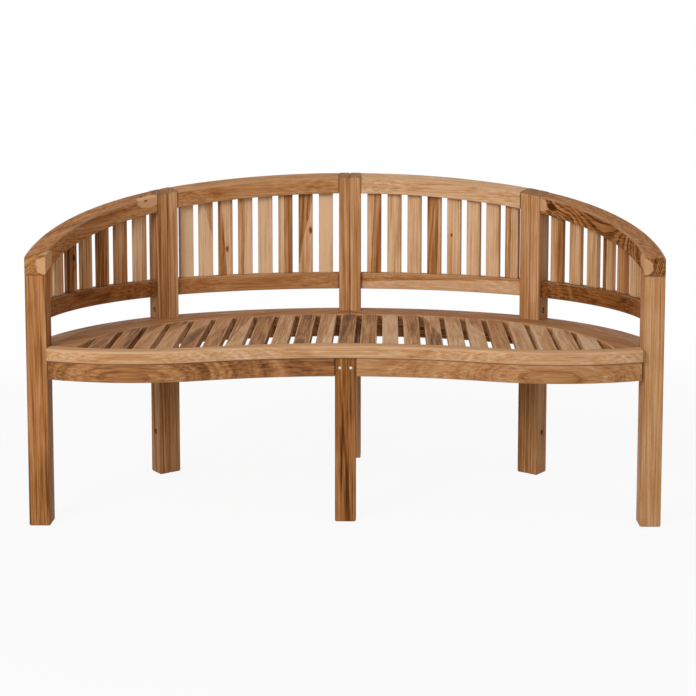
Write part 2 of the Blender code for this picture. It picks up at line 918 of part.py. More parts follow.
def build_seat(woods):
    """Front board, the two rear boards and the slats between them."""
    side_end = arm_side_frame.beyond(-gap)
    half = sweep(front_line, front_board_section(), leg_frame.beyond(0.0), side_end,
                 front_board_steps // 2, seat_top)
    make_object("seat_front_board", [mirrored(half, -1)[:0:-1] + half], woods["board"])

    def reaches_front(x, y):
        return front_board_rear + gap - front_line.offset_of(x, y)

    half = sweep(back_line, rear_board_section(), centre_frame.beyond(gap / 2), reaches_front,
                 board_steps, seat_top)
    for side_name, side in SIDES.items():
        make_object("seat_rear_board_" + side_name, [mirrored(half, side)], woods["board"])

    for position in range(-slats_each_side, slats_each_side + 1):
        name = "seat_slat_%02d" % (position + slats_each_side + 1)
        make_object(name, [seat_slat_rings(position)], woods["seat_slat"])


def build_fasteners(metal):
    for side_name, side in SIDES.items():
        for height_name, height in BOLT_HEIGHTS.items():
            rings = bolt_rings(*bolt_place(side, height))
            make_object("mid_post_%s_%s_bolt" % (side_name, height_name), [rings], metal)
        rings = screw_rings(screw_origin(side))
        make_object("centre_leg_screw_" + side_name, [rings], metal)


def build():
    clear_scene()
    woods = {
        "post": wood("teak_post", (0.42, 0.21, 0.09)),
        "rail": wood("teak_rail", (0.38, 0.20, 0.09)),
        "slat": wood("teak_back_slat", (0.50, 0.30, 0.15)),
        "board": wood("teak_seat_board", (0.48, 0.28, 0.13)),
        "seat_slat": wood("teak_seat_slat", (0.45, 0.27, 0.14)),
        "frame": wood("teak_frame", (0.36, 0.18, 0.08)),
    }
    build_back(woods)
    build_posts(woods)
    build_seat_frame(woods)
    build_seat(woods)
    build_fasteners(steel("fastener_steel"))


build()
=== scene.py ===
"""Curved garden bench in oiled teak: the boards, posts and slats over the bench's fixed frame.

The back follows a line of two arcs and every curved piece is bent along it. The front of the
seat follows a second line, hollow in the middle and swelling forward on each side. Each piece
carries its own place in a plank of teak, so its grain runs the way the board was sawn.
"""

import math

import bmesh
import bpy
from mathutils import Matrix, Vector


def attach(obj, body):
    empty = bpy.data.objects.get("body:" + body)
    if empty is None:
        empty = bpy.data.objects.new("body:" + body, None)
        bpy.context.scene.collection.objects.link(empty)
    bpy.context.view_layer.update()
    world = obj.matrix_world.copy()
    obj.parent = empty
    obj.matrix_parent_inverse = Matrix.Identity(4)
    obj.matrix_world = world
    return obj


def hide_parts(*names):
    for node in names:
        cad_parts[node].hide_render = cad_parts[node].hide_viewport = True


bl_info = {
    "name": "Curved Garden Bench",
    "version": (1, 0, 0),
    "blender": (4, 5, 0),
    "location": "View3D > Sidebar > Bench",
    "description": "Builds a curved garden bench in oiled teak",
    "category": "Object",
}

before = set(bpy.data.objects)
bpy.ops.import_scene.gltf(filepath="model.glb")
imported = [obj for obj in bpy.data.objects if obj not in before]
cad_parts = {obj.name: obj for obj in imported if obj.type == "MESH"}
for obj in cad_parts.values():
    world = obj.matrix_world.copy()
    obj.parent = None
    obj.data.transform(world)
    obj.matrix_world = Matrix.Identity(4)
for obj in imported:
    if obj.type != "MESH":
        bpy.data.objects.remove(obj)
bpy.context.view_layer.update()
BODY = "root"


# Settings that a user would change
def length(name, description, default):
    return bpy.props.FloatProperty(name=name, description=description, default=default,
                                   min=0.0, unit="LENGTH", precision=4)


def angle(name, description, degrees):
    return bpy.props.FloatProperty(name=name, description=description,
                                   default=math.radians(degrees), unit="ROTATION")


def share(name, description, default):
    return bpy.props.FloatProperty(name=name, description=description, default=default)


def colour(name, description, default):
    return bpy.props.FloatVectorProperty(name=name, description=description, default=default,
                                         subtype="COLOR", size=3, min=0.0, max=1.0)


class BenchSizes(bpy.types.PropertyGroup):
    """Sizes of the bench, as its frame has them."""

    width: length("Width", "Outer width over the arm posts", 1.500)
    arm_height: length("Arm height", "Top of the arms at their front", 0.647)
    arm_slope: share("Arm slope", "Rise of the top rail at the arms", 0.258)
    back_slope: share("Back slope", "Rise of the top rail at the back", 0.200)
    seat_height: length("Seat height", "Top of the seat under the arms' front", 0.430)
    seat_fall: share("Seat fall", "Fall of the seat to the back", 0.0215)
    end_radius: length("End radius", "Radius of the back near the arms", 0.558)
    change_angle: angle("Change angle", "Where the back's two arcs meet", 28.5)
    mid_angle: angle("Mid post angle", "Where the mid posts stand on the back", 37.0)
    lead: length("Lead", "Straight run of the back at the arms", 0.002)
    hollow_radius: length("Hollow radius", "Radius of the seat's front in the middle", 1.0)
    swell_radius: length("Swell radius", "Radius of the seat's front at each side", 0.5)
    swell_centre: length("Swell centre", "Where each side of the front is widest", 0.5)
    swell_forward: length("Swell forward", "Reach of the swell before the arms", 0.05)
    post: length("Post side", "Side of the square posts", 0.05)
    half_post: length("Half post", "Width of each half of a rear post", 0.03)
    top_rail: length("Top rail height", "Height of the top rail", 0.0445)
    lower_rail: length("Lower rail height", "Height of the lower back rail", 0.044)
    lower_rail_depth: length("Lower rail depth", "Thickness of the lower back rail", 0.03)
    lower_rail_recess: length("Lower rail recess", "Set-back of the lower back rail", 0.012)
    lower_rail_share: share("Lower rail share", "Its top between seat and arms", 0.4725)
    slat_width: length("Back slat width", "Width of a back slat", 0.0385)
    slat_depth: length("Back slat depth", "Thickness of a back slat", 0.014)
    board: length("Board thickness", "Thickness of the seat's front and rear boards", 0.0295)
    front_board: length("Front board width", "Width of the seat's front board", 0.042)
    overhang: length("Overhang", "Reach of the front board over the apron", 0.006)
    rear_board: length("Rear board width", "Width of the seat's rear boards", 0.068)
    apron: length("Apron height", "Height of the front apron", 0.045)
    apron_depth: length("Apron depth", "Thickness of the front apron", 0.025)
    seat_rail: length("Seat rail height", "Height of the rear seat rails", 0.073)
    pitch_front: length("Slat pitch, front", "Spacing of the seat slats at the front", 0.0535)
    pitch_rear: length("Slat pitch, rear", "Spacing of the seat slats at the rear", 0.0553)
    seat_slat_front: length("Seat slat, front", "Width of a seat slat at the front", 0.0390)
    seat_slat_rear: length("Seat slat, rear", "Width of a seat slat at the rear", 0.0415)
    seat_slat: length("Seat slat depth", "Thickness of a seat slat", 0.022)
    rounding: length("Rounding", "Rounding of the sanded edges", 0.0025)


class BenchColours(bpy.types.PropertyGroup):
    """Colours of the oiled teak and of its fittings."""

    pale: colour("Pale wood", "Sapwood and the palest boards", (0.730, 0.485, 0.292))
    honey: colour("Honey wood", "Lighter heartwood", (0.520, 0.268, 0.116))
    warm: colour("Warm wood", "Most of the heartwood", (0.352, 0.143, 0.042))
    dark: colour("Dark wood", "Late rings and dark boards", (0.168, 0.053, 0.0095))
    # Also the colour of the painted shade lines at the joints
    streak_and_joint_shade: colour("Dark streaks", "Mineral streaks and knots", (0.060, 0.019, 0.004))
    weathered: colour("Weathered wood", "Wood greyed by rain and sun", (0.42, 0.30, 0.21))
    steel: colour("Bright fittings", "Screws", (0.66, 0.65, 0.62))
    aged_steel: colour("Aged fittings", "Bolts in the posts", (0.10, 0.085, 0.07))
    floor: colour("Floor", "Floor under the bench", (0.62, 0.62, 0.62))


# Node trees
class Wire:
    """An output socket whose arithmetic adds Math nodes to its tree."""

    def __init__(self, graph, socket):
        self.graph = graph
        self.socket = socket

    def math(self, operation, *others):
        return self.graph.add("ShaderNodeMath", {"operation": operation}, self, *others)

    def __getitem__(self, name):
        return Wire(self.graph, self.socket.node.outputs[name])

    def __add__(self, other):
        return self.math("ADD", other)

    def __radd__(self, other):
        return self.math("ADD", other)

    def __sub__(self, other):
        return self.math("SUBTRACT", other)

    def __rsub__(self, other):
        return self.graph.add("ShaderNodeMath", {"operation": "SUBTRACT"}, other, self)

    def __mul__(self, other):
        return self.math("MULTIPLY", other)

    def __rmul__(self, other):
        return self.math("MULTIPLY", other)

    def __truediv__(self, other):
        return self.math("DIVIDE", other)

    def __pow__(self, other):
        return self.math("POWER", other)

    def clamp(self):
        return self.graph.add("ShaderNodeClamp", {}, self)

    def band(self, low, high):
        """0 below low, 1 above high and smooth between."""
        return self.graph.add("ShaderNodeMapRange", {"interpolation_type": "SMOOTHSTEP"},
                              self, low, high)


class Graph:
    """Adds nodes to a tree, side by side."""

    spacing = 180

    def __init__(self, tree):
        self.tree = tree

    def put(self, socket, value):
        """Links a wire or another node's socket to a socket, or sets its value."""
        if isinstance(value, Wire):
            value = value.socket
        if isinstance(value, bpy.types.NodeSocket):
            self.tree.links.new(value, socket)
        else:
            socket.default_value = value

    def add(self, kind, settings=None, *values, **named):
        """Node of a type, with its settings, then its sockets in order or by name."""
        node = self.tree.nodes.new(kind)
        node.location = (self.spacing * len(self.tree.nodes), 0)
        for key, value in (settings or {}).items():
            if key == "stops":
                self.set_stops(node.color_ramp, value)
            else:
                setattr(node, key, value)
        sockets = [item for item in node.inputs if item.enabled]
        for socket, value in zip(sockets, values):
            self.put(socket, value)
        for name, value in named.items():
            label = name.replace("_", " ")
            self.put(next(item for item in sockets if item.name == label), value)
        return Wire(self, next(item for item in node.outputs if item.enabled))

    @staticmethod
    def set_stops(ramp, stops):
        while len(ramp.elements) < len(stops):
            ramp.elements.new(1.0)
        for element, (place, tint) in zip(ramp.elements, stops):
            element.position = place
            element.color = (*tint, 1.0)

    def vector(self, x, y, z):
        return self.add("ShaderNodeCombineXYZ", {}, x, y, z)

    def split(self, vector):
        parts = self.add("ShaderNodeSeparateXYZ", {}, vector)
        return parts["X"], parts["Y"], parts["Z"]

    def scaled(self, vector, scales):
        return self.add("ShaderNodeVectorMath", {"operation": "MULTIPLY"}, vector, scales)

    def shifted(self, vector, shift):
        return self.add("ShaderNodeVectorMath", {"operation": "ADD"}, vector, shift)

    def noise(self, place, scale, detail, roughness):
        """Noise from 0 to 1 whose cells are one over the scale in size."""
        return self.add("ShaderNodeTexNoise", {}, Vector=place, Scale=scale, Detail=detail,
                        Roughness=roughness)

    def line_noise(self, place, scale, detail, roughness):
        """Noise from 0 to 1 that varies with one number."""
        return self.add("ShaderNodeTexNoise", {"noise_dimensions": "1D"}, W=place, Scale=scale,
                        Detail=detail, Roughness=roughness)

    def blend(self, factor, first, second):
        """Mix of two colours, each three numbers or a wire."""
        first, second = ((*item, 1.0) if isinstance(item, tuple) else item
                         for item in (first, second))
        return self.add("ShaderNodeMix", {"data_type": "RGBA"}, factor, first, second)

    def distance(self, *offsets):
        """Length of a vector with these parts."""
        squares = [offset * offset for offset in offsets]
        return sum(squares[1:], squares[0]) ** 0.5

    def seen(self):
        """1 for what the camera sees, straight, mirrored or through glass."""
        paths = self.add("ShaderNodeLightPath", {})
        return (paths["Is Camera Ray"] + paths["Is Glossy Ray"]
                + paths["Is Transmission Ray"]).clamp()


# Materials
NO_SIZE = 0.00001


class TeakGraph(Graph):
    """Nodes of a teak material: the wood at each place of its plank, and its marks."""

    def __init__(self, tree):
        super().__init__(tree)
        self.plank = self.field("grain", "Vector")
        self.along, self.across, self.inward = self.split(self.field("place", "Vector"))
        # Slow wander of the trunk, and the finer waver and ripple of its rings
        self.sway = self.cells(1.3, 4.0, 1.0, 0.5) - 0.5
        self.waver = self.cells(7.0, 38.0, 3.0, 0.55) - 0.5
        self.ripple = self.cells(26.0, 120.0, 2.0, 0.5) - 0.5

    def field(self, name, output="Fac"):
        return self.add("ShaderNodeAttribute", {"attribute_name": name})[output]

    def cells(self, lengthwise, around, detail, roughness):
        """Noise with so many cells a metre along the plank and around its length."""
        scales = (lengthwise, around, around)
        return self.noise(self.scaled(self.plank, scales), 1.0, detail, roughness)

    def knot(self):
        """How far a knot bends the rings round it, and its dark core."""
        knot_along, knot_across, size = self.split(self.field("knot", "Vector"))
        off_along = (self.along - knot_along) * 0.55 + self.waver * 0.006
        off_across = self.across - knot_across + self.ripple * 0.003
        away = self.distance(off_along, off_across) / (size + NO_SIZE)
        return (1 - away.band(0.2, 3.4)) * size * 0.7, 1 - away.band(0.30, 0.95)

    def sapwood(self):
        """1 in the two pale patches, which have a broken outline."""
        total = 0.0
        for spot in ("patch", "end_patch"):
            spot_along, spot_across, spot_inward = self.split(self.field(spot, "Vector"))
            off_along = (self.along - spot_along) * 0.56 + self.waver * 0.03
            off_across = self.across - spot_across + self.ripple * 0.014
            off_inward = self.inward - spot_inward + self.waver * 0.03
            size = self.field(spot + "_size") + NO_SIZE
            away = self.distance(off_along, off_across, off_inward) / size
            total = 1 - away.band(0.95, 1.04) + total
        return total.clamp()

    def rings(self, gap, bend):
        """Late wood, zones, bands and thin lines of the rings round the heart of the tree."""
        lengthwise, wide, deep = self.split(self.plank)
        radius = (self.distance(wide, deep) + lengthwise * 0.032 + self.sway * 0.030
                  + self.waver * 0.0050 + bend)
        phase = (radius * (1 / gap)).math("FRACT")
        late = phase.band(0.30, 0.92) * (1 - phase.band(0.93, 1.0))
        zones = self.line_noise(radius, 34.0, 1.0, 0.5) - 0.5
        bands = self.line_noise(radius, 150.0, 2.0, 0.55) - 0.5
        lines = self.line_noise(radius + self.ripple * 0.0009, 420.0, 2.0, 0.6)
        return late, zones, bands, lines

    def heartwood(self, figure):
        """Darkening of the heart's side with its rim, and the rings' boldness.

        The rings are calmer on the paler side.
        """
        start, lean, depth = self.split(self.field("heart", "Vector"))
        side = self.across - start - lean * self.along + self.waver * 0.012 + self.ripple * 0.003
        heart = side.band(-0.0009, 0.0009)
        paler = depth.math("LESS_THAN", -0.001)
        darker = depth.math("GREATER_THAN", 0.001)
        strength = depth.math("ABSOLUTE")
        rim = (1 - side.math("ABSOLUTE").band(0.0, 0.0018)) * strength
        calm = (strength * 3.6).math("MINIMUM", 0.72)
        bold = figure * (1 - (heart * paler + (1 - heart) * darker) * calm)
        return heart * depth + rim * 0.45, bold


def new_material(name, kind=Graph):
    """A material with its graph and its shader."""
    made = bpy.data.materials.new(name)
    made.use_nodes = True
    return made, kind(made.node_tree), made.node_tree.nodes["Principled BSDF"]


def teak(name, contrast=1.0, ring_gap=0.0065, roughness=0.55, weathered=0.0, wear_and_highlight=0.30):
    """Oiled teak. Reads the piece's place in its plank, its tone and its marks from the mesh.

    grain is the place in the plank, with the heart of the tree along its first axis; place is
    the same without the plank's own shift, and the marks are given in it. heart is where
    heartwood begins across the piece, its lean and how much darker it is, or paler below
    zero. knot is a knot's place and size. patch and end_patch are the places of two pale
    patches of sapwood, with their sizes. A higher tone is paler and a higher figure has
    bolder rings. edge is 1 on the rounded edges, which get painted shade and a paler worn rim
    that is also a painted highlight; near is 1 at the joints at its ends, where a line of
    painted shade is drawn; sawn is 1 on end grain, and hidden is 1 on faces that the weather
    doesn't reach.
    """
    made = bpy.data.materials.get(name)
    if made:
        return made
    made, graph, shader = new_material(name, TeakGraph)
    tints = bpy.context.scene.bench_colours
    pale, honey, warm, dark, streak_and_joint_shade = (tuple(item) for item in (
        tints.pale, tints.honey, tints.warm, tints.dark, tints.streak_and_joint_shade))
    tone, edge, hidden, sawn = (graph.field(item) for item in ("tone", "edge", "hidden", "sawn"))
    bend, core = graph.knot()
    sapwood = graph.sapwood()
    late, zones, bands, lines = graph.rings(ring_gap, bend)
    heart, bold = graph.heartwood(graph.field("figure"))

    # Threads, fibres and open pores along the grain, and slow clouds of tone
    thread = graph.cells(3.2, 240.0, 2.0, 0.6) - 0.5
    fibre = graph.cells(12.0, 820.0, 2.0, 0.6) - 0.5
    pores = graph.cells(120.0, 2100.0, 1.0, 0.5).band(0.60, 0.76)
    cloud = graph.cells(7.0, 22.0, 3.0, 0.6) - 0.5

    # Depth of the colour, from sapwood to the darkest streaks
    rings = bold.band(1.0, 2.0) * 0.40 + 0.075
    depth = (0.52 - tone - hidden * 0.06 + heart
             + (zones * 0.42 + bands * 0.56 + (late - 0.3) * rings * bold) * bold * contrast
             + (thread * (bold.math("MINIMUM", 1.0) * 0.30 + 0.80) + fibre * 0.46
                + cloud * 0.46) * contrast)
    depth = depth - sapwood * (depth - 0.17) * 0.84 + core * 0.62
    # End grain is darker; the rounded edges get painted shade, less where they are more worn
    depth = depth + sawn * 0.07 * (1 - sapwood * 0.6) + edge.band(0.3, 1.0) * 0.09 * (1 - wear_and_highlight)
    shade = graph.add("ShaderNodeValToRGB", {"stops": [
        (0.0, pale), (0.33, honey), (0.62, warm), (0.86, dark), (1.0, streak_and_joint_shade)]}, depth.clamp())
    thin = lines.band(0.60, 0.74) * depth.band(0.10, 0.60) * (1 - sapwood) * bold * 0.46
    shade = graph.blend(thin.clamp(), shade, dark)
    shade = graph.blend(pores * 0.30, shade, dark)

    # Handled edges, paler where the sanding went through the oil, and also a painted highlight
    worn = edge.band(0.25, 1.0) * (cloud + thread + 0.55).band(0.35, 0.75)
    shade = graph.blend(worn * wear_and_highlight, shade, pale)
    if weathered:
        shade = graph.blend((1 - hidden) * weathered, shade, tuple(tints.weathered))
    # Painted shade: a dark line where the piece meets the parts at its joints, standing in for
    # contact shadow
    joint_shade = graph.field("near").band(0.935, 0.99)
    shade = graph.blend(joint_shade * 0.38, shade, streak_and_joint_shade)

    rough = roughness + fibre * 0.20 + pores * 0.16 - late * 0.04 - worn * 0.08
    relief = fibre * 0.5 + thread * 0.5 - pores * 0.8 - late * 0.15 - core * 0.6
    bump = graph.add("ShaderNodeBump", {}, Strength=0.4, Distance=0.0004, Height=relief)
    graph.put(shader.inputs["Base Color"], shade)
    graph.put(shader.inputs["Roughness"], rough.clamp())
    graph.put(shader.inputs["Normal"], bump)
    shader.inputs["Specular IOR Level"].default_value = 0.18
    shader.inputs["IOR"].default_value = 1.30
    return made


def brushed(name, tint, roughness):
    """Steel brushed along one way, duller and darker where it has aged."""
    made, graph, shader = new_material(name)
    place = graph.add("ShaderNodeTexCoord", {})["Object"]
    scratch = graph.noise(graph.scaled(place, (900.0, 4000.0, 900.0)), 1.0, 2.0, 0.5)
    worn = graph.noise(place, 260.0, 2.0, 0.6)
    darker = tuple(0.45 * part for part in tint)
    graph.put(shader.inputs["Base Color"], graph.blend(worn.band(0.45, 0.8) * 0.4, tint, darker))
    graph.put(shader.inputs["Roughness"], roughness + (scratch - 0.5) * 0.25)
    graph.put(shader.inputs["Metallic"], 1.0 - worn.band(0.6, 0.9) * 0.2)
    return made


# Plan of the bench
class PlanLine:
    """Line in plan of arcs (radius, angle, turn), symmetrical about x = 0."""

    def __init__(self, middle_y, arcs):
        self.arcs = []
        x, y, heading, station = 0.0, middle_y, 0.0, 0.0
        for radius, sweep_angle, turn in arcs:
            centre = (x - turn * radius * math.sin(heading), y + turn * radius * math.cos(heading))
            self.arcs.append((station, radius, turn, centre, heading))
            heading += turn * sweep_angle
            x = centre[0] + turn * radius * math.sin(heading)
            y = centre[1] - turn * radius * math.cos(heading)
            station += radius * sweep_angle
        self.end = (station, x, y, heading)

    def at(self, station):
        mirror = -1 if station < 0 else 1
        distance = abs(station)
        if distance >= self.end[0]:
            _, x, y, heading = self.end
            run = distance - self.end[0]
            return (mirror * (x + run * math.cos(heading)), y + run * math.sin(heading),
                    mirror * heading)
        for start, radius, turn, centre, heading in reversed(self.arcs):
            if distance >= start:
                now = heading + turn * (distance - start) / radius
                return (mirror * (centre[0] + turn * radius * math.sin(now)),
                        centre[1] - turn * radius * math.cos(now), mirror * now)

    def point(self, station, offset):
        x, y, heading = self.at(station)
        return x - offset * math.sin(heading), y + offset * math.cos(heading)

    def station_where(self, offset, test):
        """Station, beside the line by an offset, where test(x, y) rises past 0."""
        return crossing(lambda station: test(*self.point(station, offset)) >= 0)

    def offset_of(self, x, y):
        """How far a point lies beside the line."""

        def beyond(station):
            line_x, line_y, heading = self.at(station)
            ahead = (abs(x) - line_x) * math.cos(heading) + (y - line_y) * math.sin(heading)
            return ahead <= 0

        line_x, line_y, heading = self.at(crossing(beyond))
        return (y - line_y) * math.cos(heading) - (abs(x) - line_x) * math.sin(heading)


LONGEST_LINE = 1.6
HALVINGS = 36


def crossing(beyond):
    """Station from which beyond(station) is true, found by halving."""
    low, high = 0.0, LONGEST_LINE
    for _ in range(HALVINGS):
        middle = (low + high) / 2
        if beyond(middle):
            high = middle
        else:
            low = middle
    return (low + high) / 2


class Plan:
    """The bench's plan lines, heights and post places, with y = 0 at the arms' front.

    A height is what a top has at y = 0, its slope and its bend. gap is the clearance of a fit.
    """

    gap = 0.0003

    def __init__(self, sizes):
        self.sizes = sizes
        self.face = sizes.width / 2 - sizes.post
        turn = math.sin(sizes.change_angle)
        self.mid_radius = sizes.end_radius + (self.face - sizes.end_radius) / turn
        drop = (self.mid_radius - sizes.end_radius) * math.cos(sizes.change_angle)
        self.back_y = sizes.lead + self.mid_radius - drop
        self.back = PlanLine(self.back_y, [
            (self.mid_radius, sizes.change_angle, -1),
            (sizes.end_radius, math.pi / 2 - sizes.change_angle, -1)])
        both = sizes.hollow_radius + sizes.swell_radius
        front_turn = math.asin(sizes.swell_centre / both)
        self.front_y = both * (1 - math.cos(front_turn)) - sizes.swell_forward
        self.front = PlanLine(self.front_y, [
            (sizes.hollow_radius, front_turn, -1),
            (sizes.swell_radius, front_turn + math.pi / 3, 1)])
        rear_edge = self.back_y + sizes.post
        front_edge = -sizes.swell_forward - sizes.overhang
        self.origin_y = (rear_edge + front_edge) / 2
        self.mid = self.back.at(self.back_station(sizes.mid_angle))
        bend = (sizes.arm_slope - sizes.back_slope) / (2 * rear_edge)
        self.rail_heights = (sizes.arm_height, sizes.arm_slope, -bend)
        self.seat_heights = (sizes.seat_height, -sizes.seat_fall, 0.0)
        above = sizes.lower_rail_share * (sizes.arm_height - sizes.seat_height)
        self.lower_heights = (sizes.seat_height + above, -sizes.seat_fall, 0.0)
        self.back_values = {
            "Middle Radius": self.mid_radius, "End Radius": sizes.end_radius,
            "Change Angle": sizes.change_angle, "Back Y": self.back_y, "Lead": sizes.lead,
            "Origin Y": self.origin_y}

    def back_station(self, phi, offset=0.0):
        """Run along the back from its middle to an angle, or beside it by an offset."""
        change = self.sizes.change_angle
        return ((self.mid_radius + offset) * min(phi, change)
                + (self.sizes.end_radius + offset) * max(phi - change, 0.0))

    def station_beside(self, phi, cut, offset):
        """Run along the back, beside it by an offset, to a cut beyond an angle."""
        sizes = self.sizes
        radius = self.mid_radius if phi <= sizes.change_angle else sizes.end_radius
        return self.back_station(phi + math.asin(cut / (radius + offset)), offset)

    def spans(self, over_arms=False):
        """Angle and cut at both ends of the back's inner span and of its outer span."""
        sizes = self.sizes
        shoulder = sizes.half_post + self.gap
        out = -sizes.lead if over_arms else sizes.post + self.gap - sizes.lead
        return {"inner": (0.0, shoulder, sizes.mid_angle, shoulder),
                "outer": (sizes.mid_angle, shoulder, math.pi / 2, out)}

    @staticmethod
    def height(heights, y):
        return heights[0] + heights[1] * y + heights[2] * y * y

    def rail_top(self, y):
        return self.height(self.rail_heights, y)

    def seat_top(self, y):
        return self.height(self.seat_heights, y)


# Meshes
SIDES = (("left", -1), ("right", 1))
ROUNDING_STEPS = 3
BESIDE_ROUNDING = 0.0012
JOINT_REACH = 0.05
END_GRAIN_REACH = 0.0012
SHARP_ANGLE = math.radians(42.0)
NOWHERE = (0.0, 0.0, 0.0)

# Eased ends: how far in the ring between face and side lies, on straight and on bent pieces
STRAIGHT_EASING = 0.3
BENT_EASING = 0.35


def rounded(xs, ys, radii):
    """Outline of a rectangle with rounded corners, as points and their edge marks.

    xs and ys are its limits each way. radii is one radius, or one for each corner, going
    first along x from the first limits. The points on a rounding have an edge mark of 1 and
    those just beside it 0, so that the paler worn rim with its painted highlight, and the
    painted edge shade, stay on the edges.
    """
    if isinstance(radii, float):
        radii = 4 * (radii,)
    corners = [Vector(item) for item in ((xs[0], ys[0]), (xs[1], ys[0]), (xs[1], ys[1]),
                                         (xs[0], ys[1]))]
    points = []
    for index, (here, radius) in enumerate(zip(corners, radii)):
        before = (corners[index - 1] - here).normalized()
        after = (corners[(index + 1) % 4] - here).normalized()
        centre = here + (before + after) * radius
        start = here + before * radius - centre
        turn = start.angle_signed(here + after * radius - centre)
        points.append((*(here + before * (radius + BESIDE_ROUNDING)), 0.0))
        for step in range(ROUNDING_STEPS + 1):
            spoke = start.copy()
            spoke.rotate(Matrix.Rotation(-turn * step / ROUNDING_STEPS, 2))
            points.append((*(centre + spoke), 1.0))
        points.append((*(here + after * (radius + BESIDE_ROUNDING)), 0.0))
    return points


def middle_of(outline):
    return Vector((sum(p[0] for p in outline), sum(p[1] for p in outline))) / len(outline)


def drawn_in(x, y, middle, inset):
    """A point of an outline, pulled towards the outline's middle."""
    pull = Vector((x, y)) - middle
    reach = max(abs(pull.x), abs(pull.y))
    return middle + pull * ((reach - inset) / reach)


def store(data, name, values):
    """Adds a value or a vector for each point of a mesh."""
    if isinstance(values[0], (int, float)):
        field = data.attributes.new(name, "FLOAT", "POINT")
        field.data.foreach_set("value", values)
    else:
        field = data.attributes.new(name, "FLOAT_VECTOR", "POINT")
        field.data.foreach_set("vector", [part for value in values for part in value])


class Look:
    """Tone and marks of one piece of teak, in its own place along and across."""

    def __init__(self, tone=0.0, figure=1.0, **marks):
        self.values = {"tone": tone, "figure": figure, "heart": NOWHERE, "knot": NOWHERE,
                       "patch": NOWHERE, "patch_size": 0.0, "end_patch": NOWHERE,
                       "end_patch_size": 0.0, **marks}


def mark_wood(data, looks):
    """Stores the looks on a mesh: one for all of it, or one for each numbered part."""
    if isinstance(looks, Look):
        numbers = [0] * len(data.vertices)
        looks = [looks]
    else:
        numbers = [round(item.value) for item in data.attributes["number"].data]
    for key in looks[0].values:
        store(data, key, [looks[number].values[key] for number in numbers])


def add_object(name, data):
    """A new object in the scene, at the origin."""
    made = bpy.data.objects.new(name, data)
    bpy.context.scene.collection.objects.link(made)
    return made


def skin(name, rings, outline, material):
    """Closed piece through rings of points, with the edge marks of its outline.

    near is 1 at its two ends and falls to 0 at the joint reach from them, and the material
    paints a line of shade from it at the joints. sawn is 1 on the end grain.
    """
    mesh = bmesh.new()
    rows = [[mesh.verts.new(point) for point in ring] for ring in rings]
    count = len(rows[0])
    for first, second in zip(rows, rows[1:]):
        for index in range(count):
            after = (index + 1) % count
            mesh.faces.new((first[index], first[after], second[after], second[index]))
    mesh.faces.new(rows[0])
    mesh.faces.new(rows[-1])
    bmesh.ops.recalc_face_normals(mesh, faces=mesh.faces)
    data = bpy.data.meshes.new(name)
    mesh.to_mesh(data)
    mesh.free()
    store(data, "edge", [mark for _, _, mark in outline] * len(rings))
    middles = [sum((Vector(point) for point in ring), Vector()) / count for ring in rings]
    runs = [0.0]
    for first, second in zip(middles, middles[1:]):
        runs.append(runs[-1] + (second - first).length)
    near = [1 - min(run, runs[-1] - run) / JOINT_REACH for run in runs]
    sawn = [max(0.0, 1 - min(run, runs[-1] - run) / END_GRAIN_REACH) for run in runs]
    for key, values in (("near", near), ("sawn", sawn)):
        store(data, key, [value for value in values for _ in range(count)])
    data.materials.append(material)
    return add_object(name, data)


def loft(name, rings, outline, material, lay, look, replaces, cutter=None):
    """Finished piece through rings: skinned, cut, given its grain and look, and fixed.

    lay is how the plank lies, its turn about Z, the middle of its place and its shift.
    """
    piece = skin(name, rings, outline, material)
    if cutter is not None:
        carve(piece, cutter)
    lay_grain(piece.data, *lay)
    mark_wood(piece.data, look)
    finish_piece(piece, replaces)


def carve(piece, cutter):
    """Cuts one mesh object from another and removes the cutter."""
    cut = piece.modifiers.new("Carve", "BOOLEAN")
    cut.operation = "DIFFERENCE"
    cut.object = cutter
    carved = plain_mesh(piece)
    piece.modifiers.remove(cut)
    piece.data = carved
    bpy.data.objects.remove(cutter)


def plain_mesh(piece):
    """The piece as its modifiers leave it, as a mesh of its own."""
    depsgraph = bpy.context.evaluated_depsgraph_get()
    return bpy.data.meshes.new_from_object(piece.evaluated_get(depsgraph),
                                           preserve_all_data_layers=True, depsgraph=depsgraph)


AXES = {"upright": (2, 0, 1), "on edge": (0, 2, 1), "flat": (0, 1, 2)}


def lay_grain(data, way, turn, middle, shift):
    """Stores each point's place along, across and into its plank, and its grain."""
    place = Matrix.Rotation(-turn, 3, "Z")
    order = AXES[way]
    middle, shift = Vector(middle), Vector(shift)
    points = [place @ (vertex.co - middle) for vertex in data.vertices]
    points = [Vector(point[axis] for axis in order) for point in points]
    store(data, "place", points)
    store(data, "grain", [point + shift for point in points])


def finish_piece(piece, replaces):
    """Shades the piece, hides the frame's nodes that it stands for and fixes it to the body."""
    piece.data.shade_smooth()
    piece.data.set_sharp_from_angle(angle=SHARP_ANGLE)
    weighted = piece.modifiers.new("Even shading", "WEIGHTED_NORMAL")
    weighted.keep_sharp = True
    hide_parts(*replaces)
    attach(piece, BODY)


def finish_shaped(piece, looks, replaces):
    """Finishes a piece that a node tree has shaped: its faces outward, then its looks."""
    mesh = bmesh.new()
    mesh.from_mesh(piece.data)
    bmesh.ops.recalc_face_normals(mesh, faces=mesh.faces)
    mesh.to_mesh(piece.data)
    mesh.free()
    mark_wood(piece.data, looks)
    finish_piece(piece, replaces)


def mirrored(rings, side):
    return [[(side * x, y, z) for x, y, z in ring] for ring in rings]


def eased(rings_at, first, last, ease):
    """Rings from first to last with a small eased edge at both ends.

    rings_at(distance, inset) gives the ring at a distance along the piece, drawn in by inset.
    """
    part = ease * STRAIGHT_EASING
    return [rings_at(first, ease), rings_at(first + part, part), rings_at(first + ease, 0.0),
            rings_at(last - ease, 0.0), rings_at(last - part, part), rings_at(last, ease)]


